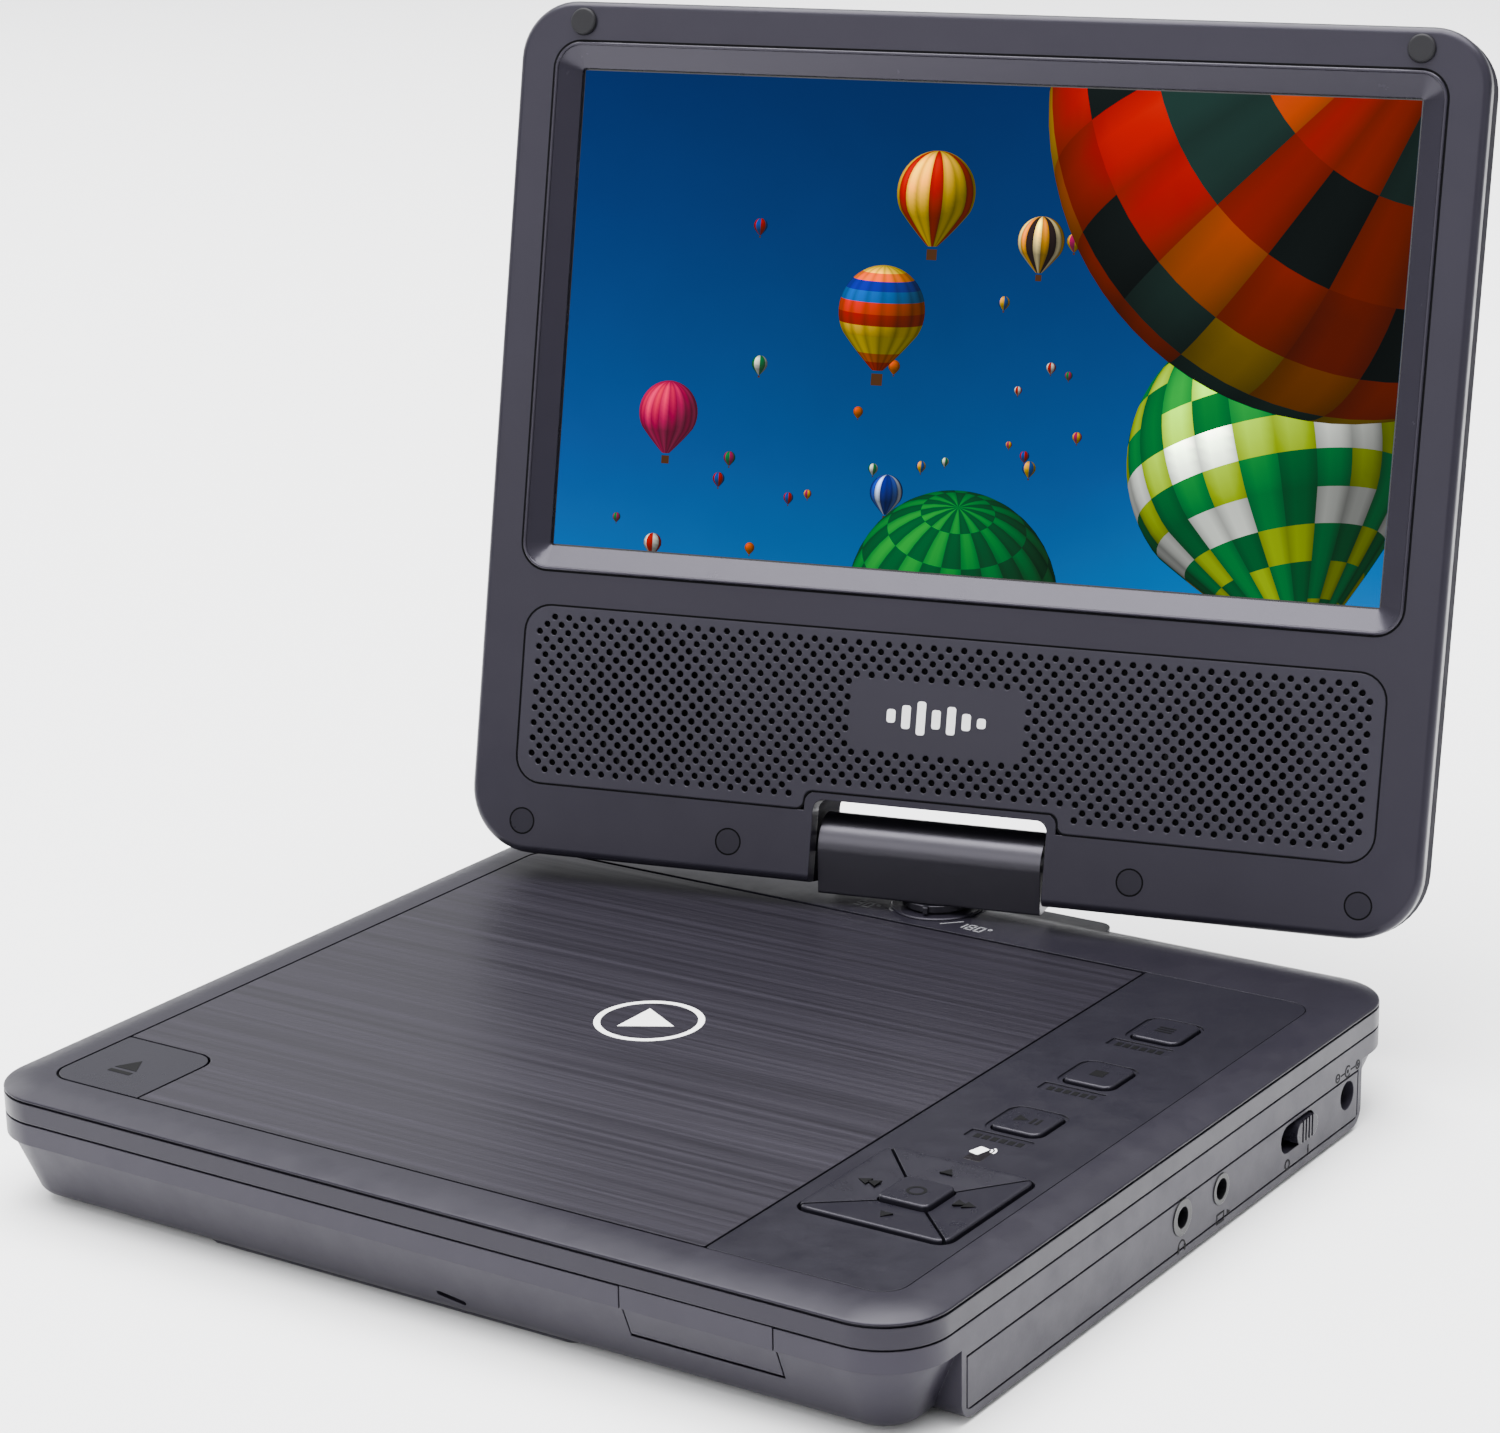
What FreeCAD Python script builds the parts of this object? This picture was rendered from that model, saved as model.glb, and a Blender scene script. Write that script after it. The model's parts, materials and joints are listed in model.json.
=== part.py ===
import FreeCAD, Part
import math
import os

# Portable disc player with a swivelling 7-inch screen, in millimetres.
# X runs to the right, Y to the rear and Z up. The origin is the middle of the
# underside, on the surface that the feet stand on.

V = FreeCAD.Vector
X_AXIS = V(1, 0, 0)
Y_AXIS = V(0, 1, 0)
Z_AXIS = V(0, 0, 1)

# ---- fits and clearances -------------------------------------------------
RUNNING = 0.05           # radial gap of a shaft that turns in its bore
MOVING = 0.3             # gap between parts that move past each other
PANEL_GAP = 0.45         # visible groove round the panels of the base
TRIM_GAP = 0.15          # groove between pieces fixed side by side
WALL = 1.8               # moulded wall
BOARD = 1.2              # circuit board

# ---- base: outline and levels --------------------------------------------
HALF_WIDTH = 88.3
FRONT_Y = -75.0
REAR_Y = 84.3
PLAN_R = 11.0
FOOT_H = 1.2
BASE_H = 21.0            # top panels above the table
RIM_TOP_H = 4.95         # depth of the upper case half at its edge
LIP_H = 3.85             # straight band round the lower case half
TUCK = 5.2               # how far the lower case draws in at the bottom
LIP_STEP = 0.7           # step under the band
CROWN_IN = 4.0           # width of the rim's sloping outer part
CROWN_DROP = 1.0         # how much lower its outer edge is than the panels
CROWN_R = 24.0           # blend that makes the rim's top one gentle curve
RIM_R = 0.35
LINE_D = 0.5             # depth of the fine grooves round the case
RIM_LINE_H = 0.45        # groove just under the rim's edge
RIM_LINE_DROP = 1.3
SEAM_LINE_H = 0.35       # groove where the two case halves meet
BOTTOM_EDGE_R = 2.5
SCOOP_X = 4.6            # small slot low on the front
SCOOP_Z = 3.9
SCOOP_L = 5.4
SCOOP_H = 0.9
SCOOP_D = 1.0
SCOOP_LEAN = 9.0

PANEL_Z = BASE_H
SEAM_Z = PANEL_Z - RIM_TOP_H
LIP_Z = SEAM_Z - LIP_H
CASE_Z = FOOT_H
FLOOR_Z = CASE_Z + WALL

# ---- base: recessed top panels -------------------------------------------
POCKET_X = 80.55
POCKET_Y = 66.95
POCKET_R = 4.5
POCKET_DEPTH = 2.4
POCKET_Z = PANEL_Z - POCKET_DEPTH
LEDGE_T = 1.5
LEDGE_Z = POCKET_Z - LEDGE_T
SPLIT_X = 48.5           # groove between disc lid and key panel
LID_PLATE_T = 1.6
LID_SKIN_T = 0.4
LID_BOTTOM_Z = PANEL_Z - LID_SKIN_T - LID_PLATE_T
LID_REAR_GAP = 0.9
LID_REAR_RELIEF = 0.8    # thinning under the lid's rear edge, which dips as it opens
REAR_TROUGH = 0.8        # groove in the ledge below that edge

# ---- disc bay ------------------------------------------------------------
DISC_X = (SPLIT_X - POCKET_X) / 2
WELL_R = 63.0
WELL_WALL = 1.5
WELL_Z = 14.2
WELL_BOTTOM_Z = WELL_Z - WELL_WALL

# ---- disc lid hinge and catch --------------------------------------------
LID_HINGE_Y = 62.5
LID_HINGE_Z = POCKET_Z
LID_PIN_R = 0.8
LID_LUG_R = 1.9
LID_LUG_L = 6.0
LID_LUG_X = (-70.0, 38.0)
LID_PIN_L = 14.0
BUTTON_W = 19.0          # corner release button, along X
BUTTON_D = 19.4          # and along Y
BUTTON_R = 4.0
BUTTON_TRAVEL = 1.0
CATCH_X = -52.0
CATCH_W = 6.0
CATCH_T = 1.6
CATCH_D = 4.0
CATCH_LOW = 6.2          # underside and top of the latch below the panels
CATCH_HIGH = 4.4
CATCH_Z0 = PANEL_Z - CATCH_LOW
CATCH_Z1 = PANEL_Z - CATCH_HIGH
BUTTON_T = 1.5
BUTTON_STEM = 5.0
BUTTON_STEM_X = -72.0
BUTTON_STEM_Y = -64.0
BUTTON_STEM_L = 3.0      # from the panels to the stem's end
BUTTON_STEM_Z = PANEL_Z - BUTTON_STEM_L

# ---- key panel -----------------------------------------------------------
KEY_X = 64.9
KEY_W = 8.8
KEY_D = 9.4
KEY_R = 1.6
KEY_Y = (-1.9, 20.8, 43.3)
KEY_PROUD = 0.4
KEY_TRAVEL = 0.4
KEY_FLANGE = 0.9
KEY_FLANGE_T = 0.8
LABEL_W = 11.2
LABEL_D = 3.0
LABEL_DEPTH = 0.3
LABEL_SHIFT = 0.6
RECESS_SHIFT = 0.2
LABEL_SET = 3.2          # middle of the label strip in front of the key's edge
PAD_Y = -35.0
PAD_W = 26.0
PAD_D = 26.6
PAD_R = 2.2
PAD_PROUD = 0.6
PAD_DISH = 0.7           # how far the pad slopes down towards its middle
PAD_SPLIT = 0.5
PAD_DEPTH = 1.7
PAD_BOTTOM_Z = PANEL_Z - PAD_DEPTH
CENTRE_KEY = 8.8
CENTRE_R = 1.2
CENTRE_PROUD = 0.2
STEM_R = 1.5
WINDOW_HALF_W = 11.9     # opening in the ledge below the keys
WINDOW_FRONT_Y = -50.0
WINDOW_REAR_Y = 50.0
KEY_BOARD_DROP = 7.0     # underside of the key board below the panels
KEY_BOARD_Z = PANEL_Z - KEY_BOARD_DROP
KEY_BOARD_X0 = 50.2
KEY_BOARD_X1 = 79.6
KEY_BOARD_Y = 54.0
KEY_BOSS_IN = 1.8
KEY_BOSS_R = 1.3
DOME_R = 2.2
DOME_H = 0.7
IR_Y = -17.0
IR_W = 3.0
IR_D = 4.6
IR_T = 0.8

# ---- right-hand jack panel -----------------------------------------------
JACK_FRONT_Y = -61.0
JACK_REAR_Y = 69.5
JACK_BOTTOM_Z = 0.8
JACK_CORNER_R = 3.0
JACK_DEPTH = 9.0
JACK_LINE = 0.35         # width and depth of the outline groove
JACK_LINE_IN = 1.3
JACK_Z = 7.6
EARPHONE_Y = 5.4
AV_Y = 18.4
SWITCH_Y = 45.6
DC_Y = 64.0
PLUG_R = 1.75
EARPHONE_RING_R = 3.0
AV_RING_R = 2.6
JACK_BODY_W = 6.6
JACK_BODY_L = 11.0
PLUG_DEPTH = 12.4
RING_PROUD = 0.15
DC_R = 2.5
DC_PIN_R = 0.65
DC_DEPTH = 9.0
DC_BODY_W = 8.0
SWITCH_SLOT_L = 12.2
SWITCH_SLOT_H = 4.8
KNOB_L = 7.6
KNOB_H = 3.9
KNOB_PROUD = 0.8
KNOB_TRAVEL = 4.0
SWITCH_BODY_L = 13.4
SWITCH_BODY_D = 5.0

# ---- front flap ----------------------------------------------------------
FLAP_X0 = 39.0
FLAP_X1 = 65.5
FLAP_BOTTOM_Z = 6.9
FLAP_GAP = 0.25
FLAP_BARREL_R = 0.9
FLAP_PIN_R = 0.4
FLAP_PIN_L = 1.2
SOCKET_X = 52.0
SOCKET_W = 14.4
SOCKET_H = 6.2
SOCKET_L = 13.0
SOCKET_T = 0.5
SOCKET_Z = 11.4
SOCKET_GAP = 0.7         # between the flap's inner face and the socket
PORT_BOARD_Y0 = -69.0
PORT_BOARD_Y1 = -55.5
PORT_BOARD_W = 20.0
PORT_POST_X = 8.0
PORT_POST_Y = -58.5

# ---- drive ---------------------------------------------------------------
CHASSIS_Z = 10.9
CHASSIS_T = 1.2
CHASSIS_X0 = -42.0
CHASSIS_X1 = 58.0
CHASSIS_HALF_D = 27.0
CHASSIS_R = 3.0
DAMPER_IN = 4.5
DAMPER_R = 3.3
DAMPER_WAIST_R = 2.3
DAMPER_POST_R = 1.3
DAMPER_CAP = 0.5
MOTOR_R = 10.5
MOTOR_Z = 5.0
SPINDLE_R = 1.0
TABLE_R = 13.0
TABLE_Z = 14.5
TABLE_T = 1.0
HUB_R = 7.3
HUB_H = 2.1
HUB_BALL_R = 0.8
SLED_X = 12.0            # lens at rest
SLED_L = 20.0
SLED_HALF_D = 19.5
SLED_Z = 5.9
SLED_H = 4.4
TOWER_L = 12.0
TOWER_W = 14.0
TOWER_TOP_Z = 13.4
LENS_R = 2.6
LENS_H = 0.6
SLED_IN = 5.0            # travel towards the spindle
SLED_OUT = 27.0          # travel towards the disc's edge
ROD_R = 1.1
ROD_Y = 17.0
ROD_Z = 8.1
ROD_X0 = -6.5
ROD_X1 = 57.0
ROD_END = 2.0
SCREW_Y = -22.6
SCREW_Z = 7.0
SCREW_R = 1.3
SCREW_X1 = 50.0
SLED_MOTOR_R = 3.6
SLED_MOTOR_L = 14.0
SLED_MOTOR_GAP = 0.6

# ---- battery and boards --------------------------------------------------
BATTERY_X0 = -44.0
BATTERY_X1 = 24.0
BATTERY_Y0 = -64.0
BATTERY_Y1 = -30.0
BATTERY_H = 7.0
COVER_EDGE = 3.0
COVER_FRONT_EDGE = 4.6
COVER_T = 0.8
BOARD_X0 = 30.0
BOARD_END_IN = 3.3       # from the case's side to the board's edge
BOARD_X1 = HALF_WIDTH - BOARD_END_IN
BOARD_Y0 = -19.0
BOARD_Y1 = 66.5
BOARD_Z = FLOOR_Z
CHIPS = ((40.0, 0.0, 14.0), (62.0, -10.0, 8.0), (40.0, 38.0, 9.0), (60.0, 40.0, 7.0))
CHIP_H = 1.0

# ---- feet and case screws ------------------------------------------------
FOOT_R = 4.6
FEET = ((-70.0, -58.0), (66.0, -60.0), (-70.0, 66.0), (66.0, 66.0), (0.0, 0.0))
SCREW_HEAD_R = 2.2
SCREW_HEAD_H = 1.4
SCREW_SHANK_R = 1.1
CASE_SCREW_L = 11.0
CASE_BOSS_R = 2.6
CASE_SCREWS = ((-76.0, -50.0), (-76.0, 52.0), (-50.0, 73.0), (50.0, 73.0))

# ---- swivel hinge --------------------------------------------------------
HINGE_Y = 77.8
HINGE_H = 10.0           # tilt axis above the top panels
HINGE_Z = PANEL_Z + HINGE_H
SWIVEL_DEG = 13.41       # how far the screen is turned
LEAN_DEG = 14.67         # how far it leans back
POST_R = 5.4
POST_BORE_R = 2.4
POST_REACH = 2.9         # how far the post ends below the ledge
POST_BOTTOM_Z = LEDGE_Z - POST_REACH
POST_END_GAP = 0.2
NECK_R = 3.6
POST_INTO_BARREL = 2.6
COLLAR_R = 6.3
COLLAR_H = 1.2
BUSH_R = 6.6
DIAL_R = 8.4
DIAL_T = 0.4
POINTER_L = 2.2
POINTER_W = 0.9
NUT_R = 7.0
NUT_T = 2.4
NUT_GAP = 0.15
BARREL_HALF_L = 20.8
BARREL_R = 5.6
BARREL_DROP = 8.0
BARREL_WALL = 1.5
BARREL_EDGE_R = 0.5
SHAFT_R = 1.9
SHAFT_IN = 7.0
SHAFT_OUT = 33.0
WASHER_R = 3.1
WASHER_T = 0.8
LEAF_R = 3.6
LEAF_IN = 24.2
LEAF_OUT = 31.0
LEAF_T = 1.4
LEAF_TOP = 30.0
BUMP_HALF_W = 31.6       # housing behind the hinge
BUMP_OUT = 2.7
BUMP_DROP = 0.7
BUMP_R = 3.0
HOUSING_R = 9.0

# ---- screen half, upright, with the tilt axis at its origin --------------
LID_HALF_W = 88.6
LID_BOTTOM = -7.1
LID_TOP = 148.0
LID_TOP_R = 10.5
LID_BOTTOM_R = 12.0
FACE = -7.0              # front face; the depth axis runs to the rear
BEZEL_DEPTH = 3.3
LID_REAR = 8.5
FACE_EDGE_R = 1.5
REAR_EDGE_R = 8.0
LID_WALL = 1.7
NOTCH_HALF_W = 21.8
NOTCH_TOP = 8.0
NOTCH_R = 2.0
VIEW_HALF_W = 77.04
VIEW_BOTTOM = 49.6
VIEW_H = 86.58
FRAME_MARGIN = 4.55
FRAME_R = 5.0
FRAME_DROP = 2.2         # depth of the sloping frame
FRAME_LIP = 0.8
FRAME_RIM = 0.6
FLANGE = 1.5
GRILLE_HALF_W = 79.9
GRILLE_BOTTOM = 6.0
GRILLE_TOP = 38.7
GRILLE_R = 5.0
GRILLE_NOTCH_HALF_W = 23.6
GRILLE_NOTCH_TOP = 9.4
GRILLE_T = 1.4
HOLE_PITCH = 2.8
HOLE_R = 0.6
SPEAKER_X = 19.5 * HOLE_PITCH    # on a hole of the grille's pattern
SPEAKER_Z = 22.6
SPEAKER_R = 14.5
SOUND_R = 12.8
SPEAKER_DEPTH = 6.5
MAGNET_R = 9.0
MAGNET_DEPTH = 2.6
PANEL_T = 1.4
PANEL_EDGE = 3.0
BACKLIGHT_T = 3.4
DRIVER_X = 22.0
DRIVER_STUD_X = 18.0
CHIP_SIDE = 5.0
DRIVER_Z0 = 13.0
DRIVER_Z1 = 36.0
DRIVER_DEPTH = 1.0
BUMPER_X = 76.4
BUMPER_Z = 144.2
BUMPER_R = 2.4
BUMPER_PROUD = 0.9
CAP_X = (-78.0, -37.5, 37.5, 78.0)
CAP_Z = -1.2
CAP_R = 2.35
CAP_T = 0.7
LID_SCREW_L = 7.0
LID_BOSS_R = 2.4
LID_BOSS_END = 6.0
SPACER_X = 60.0          # posts behind the display module
SPACER_Z = (62.0, 124.0)
LEAF_STUD_Z = (14.0, 26.0)


# ---- shape helpers -------------------------------------------------------
def box(x0, x1, y0, y1, z0, z1):
    return Part.makeBox(x1 - x0, y1 - y0, z1 - z0, V(x0, y0, z0))


def rod(radius, start, end):
    run = end - start
    return Part.makeCylinder(radius, run.Length, start, run)


def tube(outer, inner, start, end):
    return rod(outer, start, end).cut(rod(inner, start, end))


def rounded_wire(x0, x1, y0, y1, z, radii):
    """Closed outline with corner radii for front-left, front-right, rear-right, rear-left."""
    corners = ((x0, y0, 180), (x1, y0, 270), (x1, y1, 0), (x0, y1, 90))
    arcs = []
    for (x, y, start), r in zip(corners, radii):
        cx = x + r if x == x0 else x - r
        cy = y + r if y == y0 else y - r
        points = []
        for turn in (0, 45, 90):
            a = math.radians(start + turn)
            points.append(V(cx + r * math.cos(a), cy + r * math.sin(a), z))
        arcs.append(points)
    edges = []
    for i, points in enumerate(arcs):
        edges.append(Part.Arc(*points).toShape())
        following = arcs[(i + 1) % len(arcs)][0]
        if (following - points[-1]).Length > 1e-6:
            edges.append(Part.LineSegment(points[-1], following).toShape())
    return Part.Wire(edges)


def rounded_block(x0, x1, y0, y1, z0, z1, radii):
    if not isinstance(radii, tuple):
        radii = (radii,) * 4
    face = Part.Face(rounded_wire(x0, x1, y0, y1, z0, radii))
    return face.extrude(V(0, 0, z1 - z0))


def tapered(low, high):
    return Part.makeLoft([low, high], True, True)


def edges_at(shape, axis, value, tolerance=1e-4):
    """Edges that lie in the plane where the given coordinate has this value."""
    found = []
    for edge in shape.Edges:
        b = edge.BoundBox
        low = (b.XMin, b.YMin, b.ZMin)[axis]
        high = (b.XMax, b.YMax, b.ZMax)[axis]
        if abs(low - value) < tolerance and abs(high - value) < tolerance:
            found.append(edge)
    return found


def joined(shapes):
    result = shapes[0]
    for shape in shapes[1:]:
        result = result.fuse(shape)
    return result.removeSplitter()


def solids(shapes):
    return Part.makeCompound(list(shapes))


# ---- base shells ---------------------------------------------------------
def base_wire(z, inset):
    r = PLAN_R - inset
    return rounded_wire(-HALF_WIDTH + inset, HALF_WIDTH - inset,
                        FRONT_Y + inset, REAR_Y - inset, z, (r,) * 4)


def base_slab(z0, z1, inset):
    return Part.Face(base_wire(z0, inset)).extrude(V(0, 0, z1 - z0))


def jack_block(x0, inset, z0):
    """The upright right-hand side that carries the sockets, lower corners rounded."""
    block = box(x0, HALF_WIDTH - inset, JACK_FRONT_Y + inset, JACK_REAR_Y - inset, z0, LIP_Z)
    lower = [e for e in edges_at(block, 2, z0) if e.BoundBox.YLength < 1e-6]
    return block.makeFillet(JACK_CORNER_R - inset, lower)


def lower_outer():
    body = tapered(base_wire(CASE_Z, TUCK), base_wire(LIP_Z, LIP_STEP))
    body = body.makeFillet(BOTTOM_EDGE_R, edges_at(body, 2, CASE_Z))
    band = base_slab(LIP_Z, SEAM_Z, 0)
    block = jack_block(HALF_WIDTH - JACK_DEPTH, 0, JACK_BOTTOM_Z)
    return joined([body, band, block, bump_block(LIP_Z, SEAM_Z, 0)])


def lower_inner():
    body = tapered(base_wire(FLOOR_Z, TUCK + WALL), base_wire(LIP_Z, LIP_STEP + WALL))
    band = base_slab(LIP_Z, SEAM_Z, LIP_STEP + WALL)
    block = jack_block(HALF_WIDTH - JACK_DEPTH - WALL, WALL, FLOOR_Z)
    return joined([body, band, block, bump_block(LIP_Z + WALL, SEAM_Z, -WALL)])


def flap_prism(gap):
    """Space of the front flap, from below its pivot up to the seam."""
    return box(FLAP_X0 - gap, FLAP_X1 + gap, FRONT_Y - WALL, FRONT_Y + TUCK + WALL,
               FLAP_BOTTOM_Z - gap, SEAM_Z + WALL)


def tuck_at(z):
    """How far the lower case is drawn in at a height below its band."""
    return LIP_STEP + (TUCK - LIP_STEP) * (LIP_Z - z) / (LIP_Z - CASE_Z)


def flap_pivot():
    z = FLAP_BOTTOM_Z + FLAP_BARREL_R
    return V(0, FRONT_Y + tuck_at(z) + FLAP_BARREL_R, z)


def flap():
    shell = lower_outer().cut(lower_inner())
    space = flap_prism(0)
    pivot = flap_pivot()
    space = space.cut(box(FLAP_X0 - WALL, FLAP_X1 + WALL, FRONT_Y - WALL * 2,
                          FRONT_Y + TUCK + WALL * 2, 0, pivot.z))
    space = space.cut(box(FLAP_X0 - WALL, FLAP_X1 + WALL, FRONT_Y - WALL * 2,
                          FRONT_Y + TUCK + WALL * 2, SEAM_Z - FLAP_GAP, PANEL_Z))
    plate = shell.common(space)
    barrel = rod(FLAP_BARREL_R, V(FLAP_X0, pivot.y, pivot.z), V(FLAP_X1, pivot.y, pivot.z))
    pins = rod(FLAP_PIN_R, V(FLAP_X0 - FLAP_PIN_L, pivot.y, pivot.z),
               V(FLAP_X1 + FLAP_PIN_L, pivot.y, pivot.z))
    return joined([plate, barrel, pins])


def case_boss(x, y):
    return rod(CASE_BOSS_R, V(x, y, FLOOR_Z - WALL / 2), V(x, y, LEDGE_Z))


def bottom_case():
    case = lower_outer().cut(lower_inner())
    adds = [case_boss(x, y) for x, y in CASE_SCREWS]
    post_top = CHASSIS_Z + CHASSIS_T + DAMPER_CAP
    adds += [rod(DAMPER_POST_R, V(x, y, FLOOR_Z - WALL / 2), V(x, y, post_top))
             for x, y in damper_places()]
    adds += [rod(DAMPER_POST_R, V(x, PORT_POST_Y, FLOOR_Z - WALL / 2),
                 V(x, PORT_POST_Y, port_board_z()))
             for x in (SOCKET_X - PORT_POST_X, SOCKET_X + PORT_POST_X)]
    case = joined([case] + adds)
    cuts = [flap_prism(FLAP_GAP)]
    pivot = flap_pivot()
    cuts.append(rod(FLAP_PIN_R + RUNNING, V(FLAP_X0 - FLAP_PIN_L * 2, pivot.y, pivot.z),
                    V(FLAP_X1 + FLAP_PIN_L * 2, pivot.y, pivot.z)))
    cuts.append(box(BATTERY_X0 - TRIM_GAP, BATTERY_X1 + TRIM_GAP, BATTERY_Y0 - TRIM_GAP,
                    BATTERY_Y1 + TRIM_GAP, 0, FLOOR_Z + TRIM_GAP))
    cuts.append(rod(POST_R + MOVING, V(0, HINGE_Y, POST_BOTTOM_Z - POST_END_GAP),
                    V(0, HINGE_Y, SEAM_Z)))
    for x, y in CASE_SCREWS:
        cuts.append(rod(SCREW_SHANK_R, V(x, y, CASE_Z), V(x, y, CASE_Z + SCREW_HEAD_H
                                                          + CASE_SCREW_L)))
        cuts.append(rod(SCREW_HEAD_R, V(x, y, 0), V(x, y, CASE_Z + SCREW_HEAD_H)))
    cuts += jack_openings()
    cuts.append(jack_outline())
    cuts.append(scoop())
    return case.cut(solids(cuts)).cut(line_ring(SEAM_Z - SEAM_LINE_H, SEAM_Z))


def scoop():
    """Small leaning slot with round ends, low on the front."""
    y = FRONT_Y + tuck_at(SCOOP_Z)
    half = (SCOOP_L - SCOOP_H) / 2
    r = SCOOP_H / 2
    slot = joined([box(-half, half, y - SCOOP_D, y + SCOOP_D, -r, r),
                   rod(r, V(-half, y - SCOOP_D, 0), V(-half, y + SCOOP_D, 0)),
                   rod(r, V(half, y - SCOOP_D, 0), V(half, y + SCOOP_D, 0))])
    slot.rotate(V(0, 0, 0), Y_AXIS, SCOOP_LEAN)
    slot.translate(V(SCOOP_X, 0, SCOOP_Z))
    return slot


def jack_outline():
    """Fine groove that frames the jack panel."""
    x0 = HALF_WIDTH - JACK_LINE
    outer = jack_block(x0, 0, JACK_BOTTOM_Z + JACK_LINE_IN)
    outer = outer.common(box(x0, HALF_WIDTH + JACK_LINE, JACK_FRONT_Y + JACK_LINE_IN,
                             JACK_REAR_Y - JACK_LINE_IN, 0, LIP_Z - JACK_LINE_IN))
    inset = JACK_LINE_IN + JACK_LINE
    inner = box(x0 - 1, HALF_WIDTH + 1, JACK_FRONT_Y + inset, JACK_REAR_Y - inset,
                JACK_BOTTOM_Z + inset, LIP_Z - inset)
    return outer.cut(inner)


def slot_block(y, length, height, x0, x1):
    """Slot with round ends along Y, centred on the jack line."""
    half = (length - height) / 2
    r = height / 2
    return joined([box(x0, x1, y - half, y + half, JACK_Z - r, JACK_Z + r),
                   rod(r, V(x0, y - half, JACK_Z), V(x1, y - half, JACK_Z)),
                   rod(r, V(x0, y + half, JACK_Z), V(x1, y + half, JACK_Z))])


def jack_openings():
    inside = HALF_WIDTH - WALL * 2
    outside = HALF_WIDTH + WALL
    return [rod(EARPHONE_RING_R, V(inside, EARPHONE_Y, JACK_Z), V(outside, EARPHONE_Y, JACK_Z)),
            rod(AV_RING_R, V(inside, AV_Y, JACK_Z), V(outside, AV_Y, JACK_Z)),
            rod(DC_R, V(inside, DC_Y, JACK_Z), V(outside, DC_Y, JACK_Z)),
            slot_block(SWITCH_Y, SWITCH_SLOT_L, SWITCH_SLOT_H, inside, outside)]


def line_ring(z0, z1):
    """Fine groove that runs round the case, and round the housing behind the hinge."""
    outer = joined([base_slab(z0, z1, -LINE_D), bump_block(z0, z1, LINE_D)])
    inner = joined([base_slab(z0, z1, LINE_D), bump_block(z0, z1, -LINE_D)])
    return outer.cut(inner)


def bump_block(z0, z1, grow):
    half = BUMP_HALF_W + grow
    return rounded_block(-half, half, REAR_Y - PLAN_R, REAR_Y + BUMP_OUT + grow, z0, z1,
                         BUMP_R + grow)


def rim_outer():
    """Outside of the upper half: upright sides under a gently curved top."""
    edge_z = PANEL_Z - CROWN_DROP
    crown = tapered(base_wire(edge_z, 0), base_wire(PANEL_Z, CROWN_IN))
    case = joined([base_slab(SEAM_Z, edge_z, 0), crown])
    case = case.makeFillet(CROWN_R, edges_at(case, 2, PANEL_Z))
    return case.makeFillet(RIM_R, edges_at(case, 2, edge_z))


def top_case():
    case = rim_outer()
    bump = bump_block(SEAM_Z, PANEL_Z - BUMP_DROP, 0)
    case = case.cut(base_slab(SEAM_Z, LEDGE_Z, LIP_STEP + WALL))
    pocket = rounded_block(-POCKET_X, POCKET_X, -POCKET_Y, POCKET_Y, POCKET_Z, PANEL_Z + 1,
                           POCKET_R)
    dish = rod(WELL_R + WELL_WALL, V(DISC_X, 0, WELL_BOTTOM_Z), V(DISC_X, 0, LEDGE_Z))
    housing = rod(HOUSING_R, V(0, HINGE_Y, SEAM_Z), V(0, HINGE_Y, PANEL_Z))
    case = joined([case, bump, dish, housing])
    cuts = [pocket, rod(WELL_R, V(DISC_X, 0, WELL_Z), V(DISC_X, 0, PANEL_Z))]
    cuts.append(drive_window())
    cuts.append(box(KEY_X - WINDOW_HALF_W - 1, KEY_X + WINDOW_HALF_W + 1, WINDOW_FRONT_Y,
                    WINDOW_REAR_Y, SEAM_Z, PANEL_Z))
    cuts.append(rod(BUSH_R, V(0, HINGE_Y, LEDGE_Z - NUT_T), V(0, HINGE_Y, PANEL_Z + 1)))
    cuts.append(rod(NUT_R + MOVING, V(0, HINGE_Y, SEAM_Z - 1), V(0, HINGE_Y, LEDGE_Z)))
    cuts += [lug_slot(x) for x in LID_LUG_X]
    cuts.append(box(-POCKET_X, SPLIT_X, LID_HINGE_Y + LID_LUG_R, POCKET_Y,
                    POCKET_Z - REAR_TROUGH, POCKET_Z))
    cuts.append(pin_holes())
    cuts.append(box(CATCH_X - CATCH_W / 2 - MOVING, CATCH_X + CATCH_W / 2 + MOVING,
                    -POCKET_Y, -POCKET_Y + CATCH_T * 3, SEAM_Z, PANEL_Z))
    cuts += button_space()
    line_z = PANEL_Z - RIM_LINE_DROP
    case = case.cut(solids(cuts)).cut(line_ring(line_z - RIM_LINE_H, line_z))
    bosses = [rod(KEY_BOSS_R, V(x, y, KEY_BOARD_Z + BOARD), V(x, y, LEDGE_Z))
              for x, y in key_board_corners()]
    return joined([case] + bosses + catch_guides())


def drive_window():
    """Opening in the bay's floor for the turntable and for the travel of the pickup."""
    eye = rod(TABLE_R + 1.2, V(DISC_X, 0, WELL_BOTTOM_Z - 1), V(DISC_X, 0, WELL_Z + 1))
    half = TOWER_W / 2 + 1
    track = box(DISC_X, SLED_X + SLED_OUT + TOWER_L / 2 + 1, -half, half,
                WELL_BOTTOM_Z - 1, WELL_Z + 1)
    return eye.fuse(track)


def lug_slot(x):
    half = LID_LUG_L / 2 + MOVING
    r = LID_LUG_R + MOVING
    return box(x - half, x + half, LID_HINGE_Y - r, POCKET_Y, LID_HINGE_Z - r, PANEL_Z)


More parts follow.
